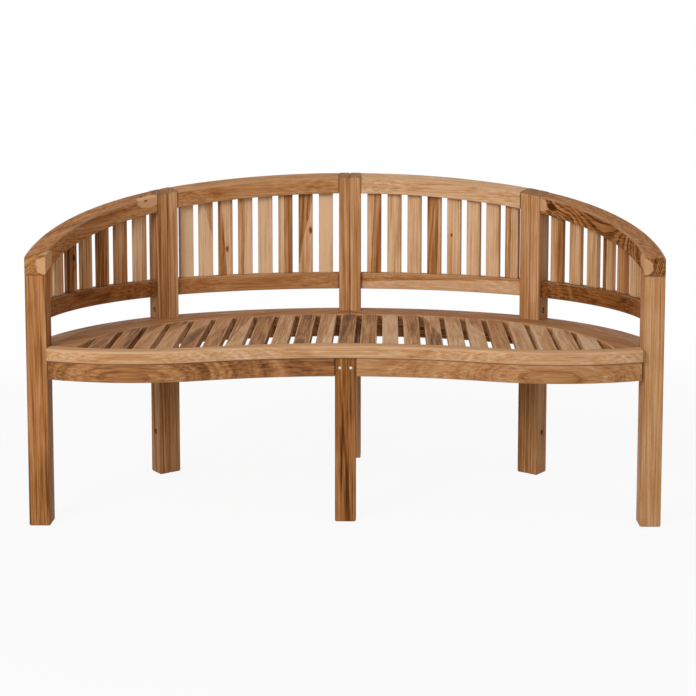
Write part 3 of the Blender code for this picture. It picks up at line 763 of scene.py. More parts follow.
# Geometry Nodes
class Shape(Graph):
    """A Geometry Nodes tree with named inputs, run once on an object."""

    def __init__(self, name, inputs):
        tree = bpy.data.node_groups.new(name, "GeometryNodeTree")
        super().__init__(tree)
        tree.interface.new_socket("Geometry", in_out="INPUT", socket_type="NodeSocketGeometry")
        tree.interface.new_socket("Geometry", in_out="OUTPUT", socket_type="NodeSocketGeometry")
        kinds = {float: "NodeSocketFloat", int: "NodeSocketInt", tuple: "NodeSocketVector",
                 bpy.types.Material: "NodeSocketMaterial"}
        self.identifiers = {}
        for key, default in inputs.items():
            kind = bpy.types.Material if default is None else type(default)
            socket = tree.interface.new_socket(key, in_out="INPUT", socket_type=kinds[kind])
            if default is not None:
                socket.default_value = default
            self.identifiers[key] = socket.identifier
        self.group_in = tree.nodes.new("NodeGroupInput")
        self.group_out = tree.nodes.new("NodeGroupOutput")

    def value(self, name):
        return Wire(self, self.group_in.outputs[name])

    def store(self, geometry, name, value, kind="FLOAT"):
        return self.add("GeometryNodeStoreNamedAttribute", {"data_type": kind},
                        Geometry=geometry, Name=name, Value=value)

    def read(self, name, kind="FLOAT"):
        return self.add("GeometryNodeInputNamedAttribute", {"data_type": kind}, name)

    def position(self):
        return self.split(self.add("GeometryNodeInputPosition", {}))

    def moved(self, geometry, x, y, z):
        return self.add("GeometryNodeSetPosition", {}, Geometry=geometry,
                        Position=self.vector(x, y, z))

    def choose(self, below, limit, low, high):
        """low where below is under limit, else high."""
        under = self.add("ShaderNodeMath", {"operation": "LESS_THAN"}, below, limit)
        return under * low + (1 - under) * high

    def from_plank(self, geometry, place, number, spread, start):
        """Stores each part's place, and its grain in a plank that chance picks by its number."""
        luck = self.add("FunctionNodeRandomValue", {"data_type": "FLOAT_VECTOR"},
                        (-1.0, -1.0, -1.0), (1.0, 1.0, 1.0), ID=number, Seed=self.value("Seed"))
        shift = self.shifted(self.scaled(luck, spread), start)
        placed = self.store(geometry, "place", place, "FLOAT_VECTOR")
        return self.store(placed, "grain", self.shifted(place, shift), "FLOAT_VECTOR")

    def close(self, geometry):
        """Ends the tree: real instances, then the material."""
        real = self.add("GeometryNodeRealizeInstances", {}, geometry)
        coated = self.add("GeometryNodeSetMaterial", {}, Geometry=real,
                          Material=self.value("Material"))
        self.put(self.group_out.inputs[0], coated)

    def run(self, piece, values):
        """Runs the tree on a piece with these inputs and leaves a plain mesh."""
        modifier = piece.modifiers.new("Shape", "NODES")
        modifier.node_group = self.tree
        for key, value in values.items():
            modifier[self.identifiers[key]] = value
        shaped = plain_mesh(piece)
        piece.modifiers.remove(modifier)
        old = piece.data
        piece.data = shaped
        bpy.data.meshes.remove(old)
        shaped.name = piece.name


BACK_LINE = {"Middle Radius": 0.86, "End Radius": 0.56, "Change Angle": 0.5, "Back Y": 0.6,
             "Lead": 0.002, "Origin Y": 0.3}
SHAPES = {}


def kept_shape(name, build):
    """A node tree's Shape, built when the file doesn't have the tree yet."""
    if name not in bpy.data.node_groups:
        SHAPES[name] = build(name)
    return SHAPES[name]


def bend_tree(name):
    """Bends a straight rail blank along the back: x is its share, y its offset, z its drop."""
    shape = Shape(name, {
        "Start Angle": 0.0, "Start Cut": 0.0, "End Angle": 0.0, "End Cut": 0.0, **BACK_LINE,
        "Height": 0.6, "Slope": 0.2, "Bend": 0.0, "Turn": 0.0, "Shift": (0.0, 0.0, 0.0),
        "Length": 0.5, "Open End": 0.0, "Side": 1.0, "Material": None})
    along, offset, drop = shape.position()
    value = shape.value
    middle, end, change = value("Middle Radius"), value("End Radius"), value("Change Angle")

    def angle_at(corner, cut, sign):
        radius = shape.choose(corner, change, middle + offset, end + offset)
        return corner + (cut / radius).math("ARCSINE") * sign

    first = angle_at(value("Start Angle"), value("Start Cut"), 1.0)
    last = angle_at(value("End Angle"), value("End Cut"), -1.0)
    phi = first + (last - first) * along
    radius = shape.choose(phi, change, middle, end) + offset
    inset = (middle - end) * change.math("SINE")
    centre_x = shape.choose(phi, change, 0.0, inset)
    centre_y = shape.choose(phi, change, value("Back Y") - middle, value("Lead"))
    x = centre_x + radius * phi.math("SINE")
    y = centre_y + radius * phi.math("COSINE")
    z = value("Height") + value("Slope") * y + value("Bend") * y * y + drop
    placed = shape.store(value("Geometry"), "place",
                         shape.vector(along * value("Length"), drop, offset), "FLOAT_VECTOR")
    far = (1 - along) * value("Length") + value("Open End")
    reach = (along * value("Length")).math("MINIMUM", far)
    sawn = along.math("MINIMUM", 1 - along) * value("Length") / END_GRAIN_REACH
    placed = shape.store(placed, "sawn", (1 - sawn).math("MAXIMUM", 0.0))
    # near marks the joints, where the material paints a line of shade
    placed = shape.store(placed, "near", 1 - reach / JOINT_REACH)
    bent = shape.moved(placed, x, y - value("Origin Y"), z)
    here = shape.add("GeometryNodeInputPosition", {})
    local = shape.add("ShaderNodeVectorRotate", {"rotation_type": "Z_AXIS"}, Vector=here,
                      Angle=0.0 - value("Turn"))
    chord_x, chord_y, chord_z = shape.split(local)
    shifted = shape.shifted(shape.vector(chord_x, chord_z, chord_y), value("Shift"))
    grained = shape.store(bent, "grain", shifted, "FLOAT_VECTOR")
    across, deep, high = shape.position()
    shape.close(shape.moved(grained, across * value("Side"), deep, high))
    return shape


RAIL_STEPS = 46
RAIL_EASE = 0.0011


def rail_blank(name, outline, span, material):
    """Straight blank of a rail: (share, offset, drop), with an eased edge at each end."""
    middle = middle_of(outline)
    small = RAIL_EASE / span
    part = small * BENT_EASING
    shares = [small + (1 - 2 * small) * step / RAIL_STEPS for step in range(RAIL_STEPS + 1)]
    stations = [(0.0, RAIL_EASE), (part, RAIL_EASE * BENT_EASING),
                *((place, 0.0) for place in shares),
                (1 - part, RAIL_EASE * BENT_EASING), (1.0, RAIL_EASE)]
    rings = [[(place, *drawn_in(offset, drop, middle, inset)) for offset, drop, _ in outline]
             for place, inset in stations]
    return skin(name, rings, outline, material)


def build_rails(plan, kind, node, outline, heights, spans, looks, material):
    """Bends a rail along each span of the back; looks has each one's shift and look."""
    for side_name, side in SIDES:
        for span, (start, start_cut, end, end_cut) in spans.items():
            shift, look = looks[side_name, span]
            first, last = plan.back_station(start), plan.back_station(end)
            first_x, first_y, _ = plan.back.at(first)
            last_x, last_y, _ = plan.back.at(last)
            run = last - first - start_cut - end_cut
            piece = rail_blank(f"{side_name}_{span}_{kind}", outline, run, material)
            kept_shape("Bent rail", bend_tree).run(piece, {
                **plan.back_values, "Start Angle": start, "Start Cut": start_cut,
                "End Angle": end, "End Cut": end_cut, "Height": heights[0],
                "Slope": heights[1], "Bend": heights[2],
                "Turn": math.atan2(last_y - first_y, last_x - first_x), "Shift": shift,
                "Length": run, "Open End": 1.0 if end_cut < 0 else 0.0, "Side": float(side),
                "Material": material})
            finish_shaped(piece, look, [f"{node}_{side_name}_{span}"])


class BuildTopRails(bpy.types.Operator):
    """Makes the four bent lengths of the top rail"""

    bl_idname = "bench.top_rails"
    bl_label = "Top rails"

    looks = {
        ("left", "inner"): ((0.20, 0.75, -0.38), Look(0.05, 0.6)),
        ("right", "inner"): ((1.30, 0.72, -0.20), Look(
            0.37, 0.7, heart=(-0.030, 0.035, 0.08))),
        # Left outer: the heart mark covers the top face and darkens it, as painted shade on the
        # top
        ("left", "outer"): ((2.10, 0.70, 0.45), Look(
            -0.02, 1.1, heart=(-0.003, 0.0, 0.09), knot=(0.038, -0.0065, 0.0042),
            patch=(0.030, -0.008, 0.0), patch_size=0.0195,
            end_patch=(0.474, -0.022, -0.003), end_patch_size=0.0255)),
        ("right", "outer"): ((3.70, -0.66, -0.37), Look(
            -0.20, 1.35, heart=(-0.0035, 0.0, -0.12), knot=(0.038, -0.020, 0.0120),
            patch=(0.0, -0.020, 0.0), patch_size=0.017,
            end_patch=(0.482, -0.022, 0.003), end_patch_size=0.019)),
    }

    def execute(self, context):
        plan = Plan(context.scene.bench_sizes)
        sizes = plan.sizes
        radii = (0.004, 0.006, 0.002, 0.002)
        outline = rounded((0.0, sizes.post), (0.0, -sizes.top_rail), radii)
        build_rails(plan, "top_rail", "top_rail", outline, plan.rail_heights,
                    plan.spans(over_arms=True), self.looks,
                    teak("Teak, top rails", contrast=0.85, ring_gap=0.0040))
        return {"FINISHED"}


class BuildLowerRails(bpy.types.Operator):
    """Makes the four lower back rails"""

    bl_idname = "bench.lower_rails"
    bl_label = "Lower back rails"

    looks = {
        ("left", "inner"): ((5.20, 0.45, 0.30), Look(0.0, 0.7)),
        ("right", "inner"): ((6.30, 0.42, -0.50), Look(
            0.36, 0.9, heart=(-0.023, 0.045, 0.30))),
        ("left", "outer"): ((7.10, -0.45, 0.15), Look(-0.20, 0.8)),
        ("right", "outer"): ((8.70, -0.49, -0.35), Look(-0.27, 0.7)),
    }

    def execute(self, context):
        plan = Plan(context.scene.bench_sizes)
        sizes = plan.sizes
        front = sizes.lower_rail_recess
        outline = rounded((front, front + sizes.lower_rail_depth), (0.0, -sizes.lower_rail),
                          sizes.rounding)
        build_rails(plan, "lower_rail", "lower_back_rail", outline, plan.lower_heights,
                    plan.spans(), self.looks,
                    teak("Teak, lower rails", contrast=0.75, ring_gap=0.0065))
        return {"FINISHED"}


class BuildSeatRails(bpy.types.Operator):
    """Makes the four seat rails between the rear posts"""

    bl_idname = "bench.seat_rails"
    bl_label = "Rear seat rails"

    looks = {
        ("left", "inner"): ((14.5, 0.40, -0.25), Look(-0.08)),
        ("right", "inner"): ((16.8, 0.40, -0.25), Look(-0.08)),
        ("left", "outer"): ((14.5, 0.40, -0.25), Look(-0.08)),
        ("right", "outer"): ((16.8, 0.40, -0.25), Look(-0.08)),
    }

    def execute(self, context):
        plan = Plan(context.scene.bench_sizes)
        sizes = plan.sizes
        outline = rounded((0.0, sizes.post), (0.0, -sizes.seat_rail), 0.003)
        build_rails(plan, "seat_rail", "rear_seat_rail", outline, plan.seat_heights,
                    plan.spans(), self.looks,
                    teak("Teak, seat frame", ring_gap=0.007))
        return {"FINISHED"}


SLAT_INSERT = 0.009
SLAT_ROUNDING = 0.0022
SLAT_STEPS = 8


def slat_tree(name):
    """Sets slats at equal gaps along the back, each from the lower rail to the top rail."""
    shape = Shape(name, {
        "Count": 8, "First": 0.1, "Spacing": 0.05, **BACK_LINE, "Offset": 0.027,
        "Insert": 0.01, "Rail": 0.0445, "Top Height": 0.6, "Top Slope": 0.2, "Top Bend": 0.0,
        "Low Height": 0.5, "Low Slope": 0.0, "Side": 1.0, "Seed": 1, "Material": None})
    value = shape.value
    points = shape.add("GeometryNodeMeshLine", {}, Count=value("Count"))
    index = shape.add("GeometryNodeInputIndex", {})
    run = value("First") + value("Spacing") * index
    middle = value("Middle Radius") + value("Offset")
    end = value("End Radius") + value("Offset")
    change = value("Change Angle")
    turn_run = middle * change
    phi = shape.choose(run, turn_run, run / middle, change + (run - turn_run) / end)
    inset = (middle - end) * change.math("SINE")
    x = shape.choose(phi, change, middle * phi.math("SINE"), inset + end * phi.math("SINE"))
    y = shape.choose(phi, change,
                     value("Back Y") - value("Middle Radius") + middle * phi.math("COSINE"),
                     value("Lead") + end * phi.math("COSINE"))
    spaced = shape.moved(points, x, y, 0.0)
    spaced = shape.store(spaced, "heading", 0.0 - phi)
    spaced = shape.store(spaced, "number", index)
    heading = shape.read("heading")
    turned = shape.add("FunctionNodeAxisAngleToRotation", {}, (0.0, 0.0, 1.0), heading)
    placed = shape.add("GeometryNodeInstanceOnPoints", {}, Points=spaced,
                       Instance=value("Geometry"), Rotation=turned)
    real = shape.add("GeometryNodeRealizeInstances", {}, placed)
    across, deep, rise = shape.position()
    top = (value("Top Height") + value("Top Slope") * deep + value("Top Bend") * deep * deep
           - value("Rail") + value("Insert"))
    low = value("Low Height") + value("Low Slope") * deep - value("Insert")
    levelled = shape.store(real, "low", low)
    levelled = shape.store(levelled, "top", top)
    slatted = shape.moved(levelled, across, deep, low + (top - low) * rise)
    low, top = shape.read("low"), shape.read("top")
    flat = shape.read("flat", "FLOAT_VECTOR")
    flat_x, flat_y, _ = shape.split(flat)
    _, _, height = shape.position()
    middle = (top + low) * 0.5
    place = shape.vector(height - middle, flat_x * value("Side"), flat_y)
    shown = (top - low) * 0.5 - value("Insert") - (height - middle).math("ABSOLUTE")
    grained = shape.from_plank(slatted, place, shape.read("number"), (3.0, 0.03, 0.05),
                               (0.0, -0.06, 0.09))
    # near marks where the slat enters its rails, where the material paints a line of shade
    grained = shape.store(grained, "near", 1 - shown / JOINT_REACH)
    grained = shape.store(grained, "sawn", 0.0)
    across, deep, rise = shape.position()
    shape.close(shape.moved(grained, across * value("Side"), deep - value("Origin Y"), rise))
    return shape


def slat_blank(name, sizes, material):
    """Upright blank of a back slat from z = 0 to 1, with its flat place kept on it."""
    wide, deep = sizes.slat_width / 2, sizes.slat_depth / 2
    outline = rounded((-wide, wide), (-deep, deep), SLAT_ROUNDING)
    rings = [[(x, y, step / SLAT_STEPS) for x, y, _ in outline]
             for step in range(SLAT_STEPS + 1)]
    piece = skin(name, rings, outline, material)
    store(piece.data, "flat", [tuple(vertex.co) for vertex in piece.data.vertices])
    return piece


class BuildBackSlats(bpy.types.Operator):
    """Makes the slats of the four panels of the back"""

    bl_idname = "bench.back_slats"
    bl_label = "Back slats"

    # From the centre outward; across is to the right as seen from the front
    looks = {
        ("left", "inner"): (
            Look(0.64, 0.5, heart=(0.016, 0.144, 0.16)),
            Look(-0.08, 1.2, heart=(-0.002, 0.22, -0.40), knot=(0.008, 0.013, 0.0075)),
            Look(0.42, 0.6, heart=(-0.004, 0.0, 0.50)),
            Look(0.46, 0.6),
            Look(0.18, 0.8, heart=(-0.004, 0.0, -0.28)),
            Look(-0.06, 0.8, heart=(-0.007, -0.067, -0.42), knot=(-0.034, 0.003, 0.007)),
            Look(0.44, 0.8, heart=(0.0196, -0.26, 0.20)),
            Look(0.53, 0.5)),
        ("right", "inner"): (
            Look(0.38, 1.0, heart=(-0.003, 0.04, 0.46)),
            Look(0.28, 0.6), Look(0.44, 0.5),
            Look(-0.10, 0.9, heart=(0.010, 0.03, -0.40)),
            Look(0.43, 0.4, knot=(0.0, -0.006, 0.0045)),
            Look(0.46, 0.6, heart=(0.014, 0.0, 0.2)),
            Look(0.38, 0.5),
            Look(0.10, 1.2, heart=(-0.002, 0.02, -0.24))),
        ("left", "outer"): (
            Look(0.42, 0.8, heart=(0.003, 0.0, 0.26)),
            Look(0.12, 1.3, heart=(0.004, 0.10, 0.16)),
            Look(-0.18, 1.0, heart=(0.010, 0.0, -0.30)),
            Look(0.22, 0.7, heart=(0.006, 0.0, -0.10)),
            Look(-0.16, 1.2, knot=(0.02, 0.006, 0.006)),
            Look(0.36, 0.5), Look(0.20, 0.8)),
        ("right", "outer"): (
            Look(0.26, 0.7, heart=(0.004, 0.0, 0.17)),
            Look(0.26, 0.6), Look(0.28, 0.6),
            Look(-0.16, 1.0, heart=(-0.003, 0.0, -0.40)),
            Look(0.08, 0.8), Look(0.34, 0.6), Look(0.26, 0.7)),
    }
    seeds = {("left", "inner"): 3, ("right", "inner"): 11, ("left", "outer"): 5,
             ("right", "outer"): 8}

    def execute(self, context):
        plan = Plan(context.scene.bench_sizes)
        sizes = plan.sizes
        material = teak("Teak, back slats", contrast=1.1, ring_gap=0.006, wear_and_highlight=0.05)
        offset = sizes.lower_rail_recess + sizes.lower_rail_depth / 2
        top, low = plan.rail_heights, plan.lower_heights
        for side_name, side in SIDES:
            for span, (start, start_cut, end, end_cut) in plan.spans().items():
                looks = self.looks[side_name, span]
                count = len(looks)
                first = plan.station_beside(start, start_cut, offset)
                last = plan.station_beside(end, -end_cut, offset)
                room = (last - first - count * sizes.slat_width) / (count + 1)
                piece = slat_blank(f"{side_name}_{span}_back_slats", sizes, material)
                kept_shape("Back slats", slat_tree).run(piece, {
                    **plan.back_values, "Count": count,
                    "First": first + room + sizes.slat_width / 2,
                    "Spacing": room + sizes.slat_width, "Offset": offset,
                    "Insert": SLAT_INSERT, "Rail": sizes.top_rail, "Top Height": top[0],
                    "Top Slope": top[1], "Top Bend": top[2], "Low Height": low[0],
                    "Low Slope": low[1], "Side": float(side),
                    "Seed": self.seeds[side_name, span], "Material": material})
                finish_shaped(piece, looks,
                              [f"back_slats_{side_name}_{span}"])
        return {"FINISHED"}


CUT_ROUNDS = 3


def seat_tree(name):
    """Sets the seat slats side by side and cuts both ends to the seat's two lines."""
    shape = Shape(name, {
        "Count": 23, "Front Pitch": 0.0535, "Rear Pitch": 0.0553, "Front Width": 0.039,
        "Rear Width": 0.0415, "Front Middle": 0.07, "Rear Middle": 0.53,
        "Hollow Radius": 1.0, "Swell Radius": 0.5, "Swell Centre": 0.5, "Front Y": 0.036,
        "Front Offset": 0.036, "Swell Y": -0.05, **BACK_LINE, "Rear Offset": -0.068,
        "Height": 0.43, "Fall": -0.0215, "End Gap": 0.0006, "Seed": 4, "Material": None})
    value = shape.value
    points = shape.add("GeometryNodeMeshLine", {}, Count=value("Count"))
    index = shape.add("GeometryNodeInputIndex", {})
    spaced = shape.store(points, "number", index)
    spaced = shape.moved(spaced, 0.0, 0.0, 0.0)
    placed = shape.add("GeometryNodeInstanceOnPoints", {}, Points=spaced,
                       Instance=value("Geometry"))
    real = shape.add("GeometryNodeRealizeInstances", {}, placed)
    number = shape.read("number")
    lane = number - (value("Count") - 1) / 2
    u, v, drop = shape.position()
    narrow = shape.read("narrow")
    inset = shape.read("inset")

    def lane_x(y):
        part = (y - value("Front Middle")) / (value("Rear Middle") - value("Front Middle"))
        pitch = value("Front Pitch") + (value("Rear Pitch") - value("Front Pitch")) * part
        wide = value("Front Width") + (value("Rear Width") - value("Front Width")) * part
        return lane * pitch + u * (wide * 0.5 - narrow)

    def front_y(x):
        reach = x.math("ABSOLUTE")
        hollow = value("Hollow Radius") + value("Front Offset")
        swell = value("Swell Radius") - value("Front Offset")
        change = value("Swell Centre") * (hollow / (hollow + swell))
        inner = (value("Front Y") - value("Hollow Radius")
                 + (hollow * hollow - reach * reach) ** 0.5)
        beside = reach - value("Swell Centre")
        outer = (value("Swell Y") + value("Swell Radius")
                 - (swell * swell - beside * beside) ** 0.5)
        return shape.choose(reach, change, inner, outer)

    def rear_y(x):
        reach = x.math("ABSOLUTE")
        middle = value("Middle Radius") + value("Rear Offset")
        end = value("End Radius") + value("Rear Offset")
        turn = value("Change Angle").math("SINE")
        change = middle * turn
        inner = (value("Back Y") - value("Middle Radius")
                 + (middle * middle - reach * reach).math("MAXIMUM", 0.0) ** 0.5)
        beside = reach - (value("Middle Radius") - value("End Radius")) * turn
        outer = value("Lead") + (end * end - beside * beside).math("MAXIMUM", 0.0) ** 0.5
        return shape.choose(reach, change, inner, outer)

    front = front_y(lane_x(value("Front Middle")))
    rear = rear_y(lane_x(value("Rear Middle")))
    for _ in range(CUT_ROUNDS):
        front = front_y(lane_x(front))
        rear = rear_y(lane_x(rear))
    front = front + value("End Gap")
    rear = rear - value("End Gap")
    y = front + (rear - front) * v + inset
    x = lane_x(y)
    z = value("Height") + value("Fall") * y + drop
    reach = (y - front).math("MINIMUM", rear - y)
    # near marks the slat's ends at the boards, where the material paints a line of shade
    real = shape.store(real, "near", 1 - reach / JOINT_REACH)
    real = shape.store(real, "sawn", 0.0)
    real = shape.store(real, "hidden", 1 - drop.band(-0.0036, -0.0012))
    cut = shape.moved(real, x, y - value("Origin Y"), z)
    across, deep, rise = shape.position()
    pitch = (value("Front Pitch") + value("Rear Pitch")) * 0.5
    place = shape.vector(deep, across - lane * pitch, rise - value("Height"))
    shape.close(shape.from_plank(cut, place, number, (3.0, 0.03, 0.04), (0.0, 0.0, 0.08)))
    return shape


# Ends of a seat slat: how far in a ring stands and how far its faces draw in
FRONT_EASING = ((0.0, 0.0016), (0.0004, 0.0006), (0.0015, 0.0))
FRONT_NARROWING = 0.0003
REAR_CORNER = 0.0065
REAR_EASING = ((REAR_CORNER, 0.0), (0.0038, 0.0002), (0.0020, 0.0008), (0.0008, 0.0018),
               (0.0, 0.0032))
SEAT_SLAT_ROUNDING = 0.0024
SEAT_SLAT_STEPS = 12


def seat_slat_blank(name, sizes, material):
    """Blank of a seat slat: x from -1 to 1 across, y from 0 to 1 along, z its drop.

    Near each end the rings step by real distances, kept as inset, and draw in by narrow.
    """
    width = sizes.seat_slat_front / 2
    deep = sizes.seat_slat
    outline = rounded((-width, width), (0.0, -deep), SEAT_SLAT_ROUNDING)
    rings, marks = [], []

    def add_ring(along, inset, narrow, lower):
        squash = 1 - 2 * lower / deep
        rings.append([(x / width, along, (z + deep / 2) * squash - deep / 2)
                      for x, z, _ in outline])
        marks.append((inset, narrow))

    for distance, lower in FRONT_EASING:
        add_ring(0.0, distance, FRONT_NARROWING if distance == 0 else 0.0, lower)
    for step in range(1, SEAT_SLAT_STEPS):
        add_ring(step / SEAT_SLAT_STEPS, 0.0, 0.0, 0.0)
    for distance, lower in REAR_EASING:
        narrow = REAR_CORNER - math.sqrt(REAR_CORNER ** 2 - (REAR_CORNER - distance) ** 2)
        add_ring(1.0, -distance, narrow, lower)
    piece = skin(name, rings, outline, material)
    for side, key in enumerate(("inset", "narrow")):
        store(piece.data, key, [mark[side] for mark in marks for _ in outline])
    return piece


class BuildSeatSlats(bpy.types.Operator):
    """Makes the slats of the seat"""

    bl_idname = "bench.seat_slats"
    bl_label = "Seat slats"

    # From left to right
    looks = (
        Look(-0.19, 1.2), Look(-0.03, 1.0, heart=(-0.006, -0.10, 0.22)),
        Look(-0.12, 1.1, heart=(0.002, 0.12, -0.24)),
        Look(-0.12, 1.3, heart=(0.002, 0.25, -0.28)),
        Look(0.20, 1.2, heart=(0.006, 0.20, 0.28)),
        Look(0.16, 1.2, heart=(0.014, 0.20, 0.22)),
        Look(0.01, 1.0, heart=(0.0, 0.06, -0.28)), Look(-0.29, 1.2), Look(0.17, 0.8),
        Look(-0.11, 1.3), Look(0.16, 1.2, heart=(0.006, 0.03, -0.28)), Look(-0.22, 1.2),
        Look(-0.12, 1.2), Look(0.40, 0.4), Look(0.23, 1.2, heart=(-0.010, -0.03, 0.30)),
        Look(-0.10, 1.2, heart=(0.003, -0.12, -0.32)), Look(0.26, 1.0, heart=(0.0, -0.10, 0.22)),
        Look(0.31, 1.1, heart=(0.004, -0.15, 0.24)), Look(0.0, 0.6), Look(0.25, 0.5),
        Look(0.47, 1.0, knot=(0.06, 0.002, 0.006), heart=(0.012, 0.15, 0.14)),
        Look(0.48, 1.2, heart=(-0.002, 0.18, 0.20)), Look(0.45, 0.7))

    def execute(self, context):
        plan = Plan(context.scene.bench_sizes)
        sizes = plan.sizes
        material = teak("Teak, seat slats", contrast=1.15, ring_gap=0.006, roughness=0.74,
                        weathered=0.20, wear_and_highlight=0.85)
        piece = seat_slat_blank("seat_slats", sizes, material)
        offset = sizes.front_board - sizes.overhang
        count = len(self.looks)
        kept_shape("Seat slats", seat_tree).run(piece, {
            "Count": count, "Front Pitch": sizes.pitch_front, "Rear Pitch": sizes.pitch_rear,
            "Front Width": sizes.seat_slat_front, "Rear Width": sizes.seat_slat_rear,
            "Front Middle": plan.front_y + offset,
            "Rear Middle": plan.back_y - sizes.rear_board,
            "Hollow Radius": sizes.hollow_radius, "Swell Radius": sizes.swell_radius,
            "Swell Centre": sizes.swell_centre, "Front Y": plan.front_y,
            "Front Offset": offset, "Swell Y": -sizes.swell_forward, **plan.back_values,
            "Rear Offset": -sizes.rear_board, "Height": sizes.seat_height,
            "Fall": -sizes.seat_fall, "Seed": 7, "Material": material})
        finish_shaped(piece, self.looks,
                      [f"seat_slat_{number + 1:02d}" for number in range(count)])
        return {"FINISHED"}


SWEEP_EASE = 0.0012


def sweep(plan, line, section, first, last, steps):
    """Rings of (offset, drop) along a line between two tests, with eased ends.

    A place is its share of the way, its inset and how far it slides on.
    """
    middle = middle_of(section)
    part = SWEEP_EASE * BENT_EASING
    ends = {offset: (line.station_where(offset, first), line.station_where(offset, last))
            for offset in {item[0] for item in section}}
    places = [(0.0, SWEEP_EASE, 0.0), (0.0, part, part),
              *((step / steps, 0.0, SWEEP_EASE * (1 - 2 * step / steps))
                for step in range(steps + 1)),
              (1.0, part, -part), (1.0, SWEEP_EASE, 0.0)]
    rings = []
    for along, inset, slide in places:
        ring = []
        for offset, drop, _ in section:
            start, end = ends[offset]
            beside, below = drawn_in(offset, drop, middle, inset)
            x, y = line.point(start + (end - start) * along + slide, beside)
            ring.append((x, y - plan.origin_y, plan.seat_top(y) + below))
        rings.append(ring)
    return rings


class BuildSeatBoards(bpy.types.Operator):
    """Makes the seat's front board and its two rear boards"""

    bl_idname = "bench.seat_boards"
    bl_label = "Seat boards"

    front_inset = 0.0001
    front_radii = (0.005, 0.0015, 0.0015, 0.003)
    rear_radii = (0.003, 0.0016, 0.0016, 0.0016)
    rear_slant = 0.75

    def execute(self, context):
        plan = Plan(context.scene.bench_sizes)
        sizes = plan.sizes
        material = teak("Teak, seat boards", contrast=0.85, ring_gap=0.007, roughness=0.70,
                        weathered=0.05, wear_and_highlight=0.50)
        front = self.front_inset - sizes.overhang
        rear = sizes.front_board - sizes.overhang
        outline = rounded((front, rear), (0.0, -sizes.board), self.front_radii)
        side_end = plan.face - plan.gap
        half = sweep(plan, plan.front, outline, lambda x, y: x, lambda x, y: x - side_end, 52)
        rings = mirrored(half[2:], -1)[:0:-1] + half[2:]
        lay = ("on edge", 0.0, (0.0, -plan.origin_y, sizes.seat_height), (21.3, 0.045, 0.10))
        loft("front_seat_board", rings, outline, material, lay,
             Look(0.25, 0.65), ["seat_front_board"])

        def reaches_front(x, y):
            return rear + plan.gap - plan.front.offset_of(x, y)

        outline = rounded((-sizes.rear_board, -plan.gap), (0.0, -sizes.board), self.rear_radii)
        half = sweep(plan, plan.back, outline, lambda x, y: x - plan.gap / 2, reaches_front, 60)
        for side_name, side in SIDES:
            lay = ("flat", -self.rear_slant * side, (0.0, 0.0, sizes.seat_height),
                   (24.0 + side, 0.45, 0.09))
            loft(f"{side_name}_rear_seat_board", mirrored(half, side), outline, material,
                 lay, Look(-0.02, 0.8), [f"seat_rear_board_{side_name}"])
        return {"FINISHED"}


class BuildAprons(bpy.types.Operator):
    """Makes the two aprons and the bearer under the seat"""

    bl_idname = "bench.aprons"
    bl_label = "Aprons and bearer"

    looks = {"left": ((31.9, 0.01, 0.08), Look(-0.15, 1.10)),
             "right": ((33.9, 0.01, 0.09), Look(0.03, 1.0))}
    rounding = 0.002
    end_clearance = 0.002
    bearer_ease = 0.001

    def execute(self, context):
        plan = Plan(context.scene.bench_sizes)
        sizes = plan.sizes
        material = teak("Teak, aprons", contrast=0.8, ring_gap=0.0060, weathered=0.06)
        heights = (-sizes.board - plan.gap, -sizes.board - sizes.apron)
        outline = rounded((0.0, sizes.apron_depth), heights, self.rounding)
        leg_side = sizes.post / 2 + plan.gap
        side_end = plan.face - self.end_clearance
        half = sweep(plan, plan.front, outline, lambda x, y: x - leg_side,
                     lambda x, y: x - side_end, 44)
        middle = (0.0, -plan.origin_y, sizes.seat_height - sizes.board - sizes.apron / 2)
        for side_name, side in SIDES:
            shift, look = self.looks[side_name]
            loft(f"{side_name}_front_apron", mirrored(half, side), outline, material,
                 ("on edge", 0.0, middle, shift), look,
                 [f"front_apron_{side_name}"])

        wide = sizes.post / 2
        outline = rounded((-wide, wide), heights, self.rounding)

        def ring(y, inset):
            return [(x * (1 - inset / wide), y - plan.origin_y, plan.seat_top(y) + z)
                    for x, z, _ in outline]

        rings = eased(ring, plan.front_y + sizes.post + plan.gap, plan.back_y - plan.gap,
                      self.bearer_ease)
        loft("bearer", rings, outline, material,
             ("on edge", math.pi / 2, middle, (36.1, 0.30, -0.30)), Look(-0.05),
             ["centre_bearer"])
        return {"FINISHED"}


POST_STEPS = 16
FOOT_EASE = 0.004
OPEN_HEAD_EASE = 0.003
COVERED_HEAD_EASE = 0.001


def post_rings(plan, centre, heading, along, top, ease):
    """Rings and outline of an upright post from an eased foot to an eased head at top(y).

    along is its range along the heading, and it stands outward from the centre.
    """
    outline = rounded(along, (0.0, plan.sizes.post), plan.sizes.rounding)
    middle = middle_of(outline)
    ahead = (math.cos(heading), math.sin(heading))

    def ring(height_at, inset):
        points = []
        for corner_along, corner_out, _ in outline:
            run, out = drawn_in(corner_along, corner_out, middle, inset)
            x = centre[0] + run * ahead[0] - out * ahead[1]
            y = centre[1] + run * ahead[1] + out * ahead[0]
            points.append((x, y - plan.origin_y, height_at(y)))
        return points

    foot_part, head_part = FOOT_EASE * STRAIGHT_EASING, ease * STRAIGHT_EASING
    rings = [ring(lambda y: 0.0, FOOT_EASE), ring(lambda y: foot_part, foot_part)]
    for step in range(POST_STEPS + 1):
        part = step / POST_STEPS
        rings.append(ring(
            lambda y, part=part: FOOT_EASE + (top(y) - ease - FOOT_EASE) * part, 0.0))
    rings += [ring(lambda y: top(y) - head_part, head_part), ring(top, ease)]
    return rings, outline


HOLE_SIDES = 24
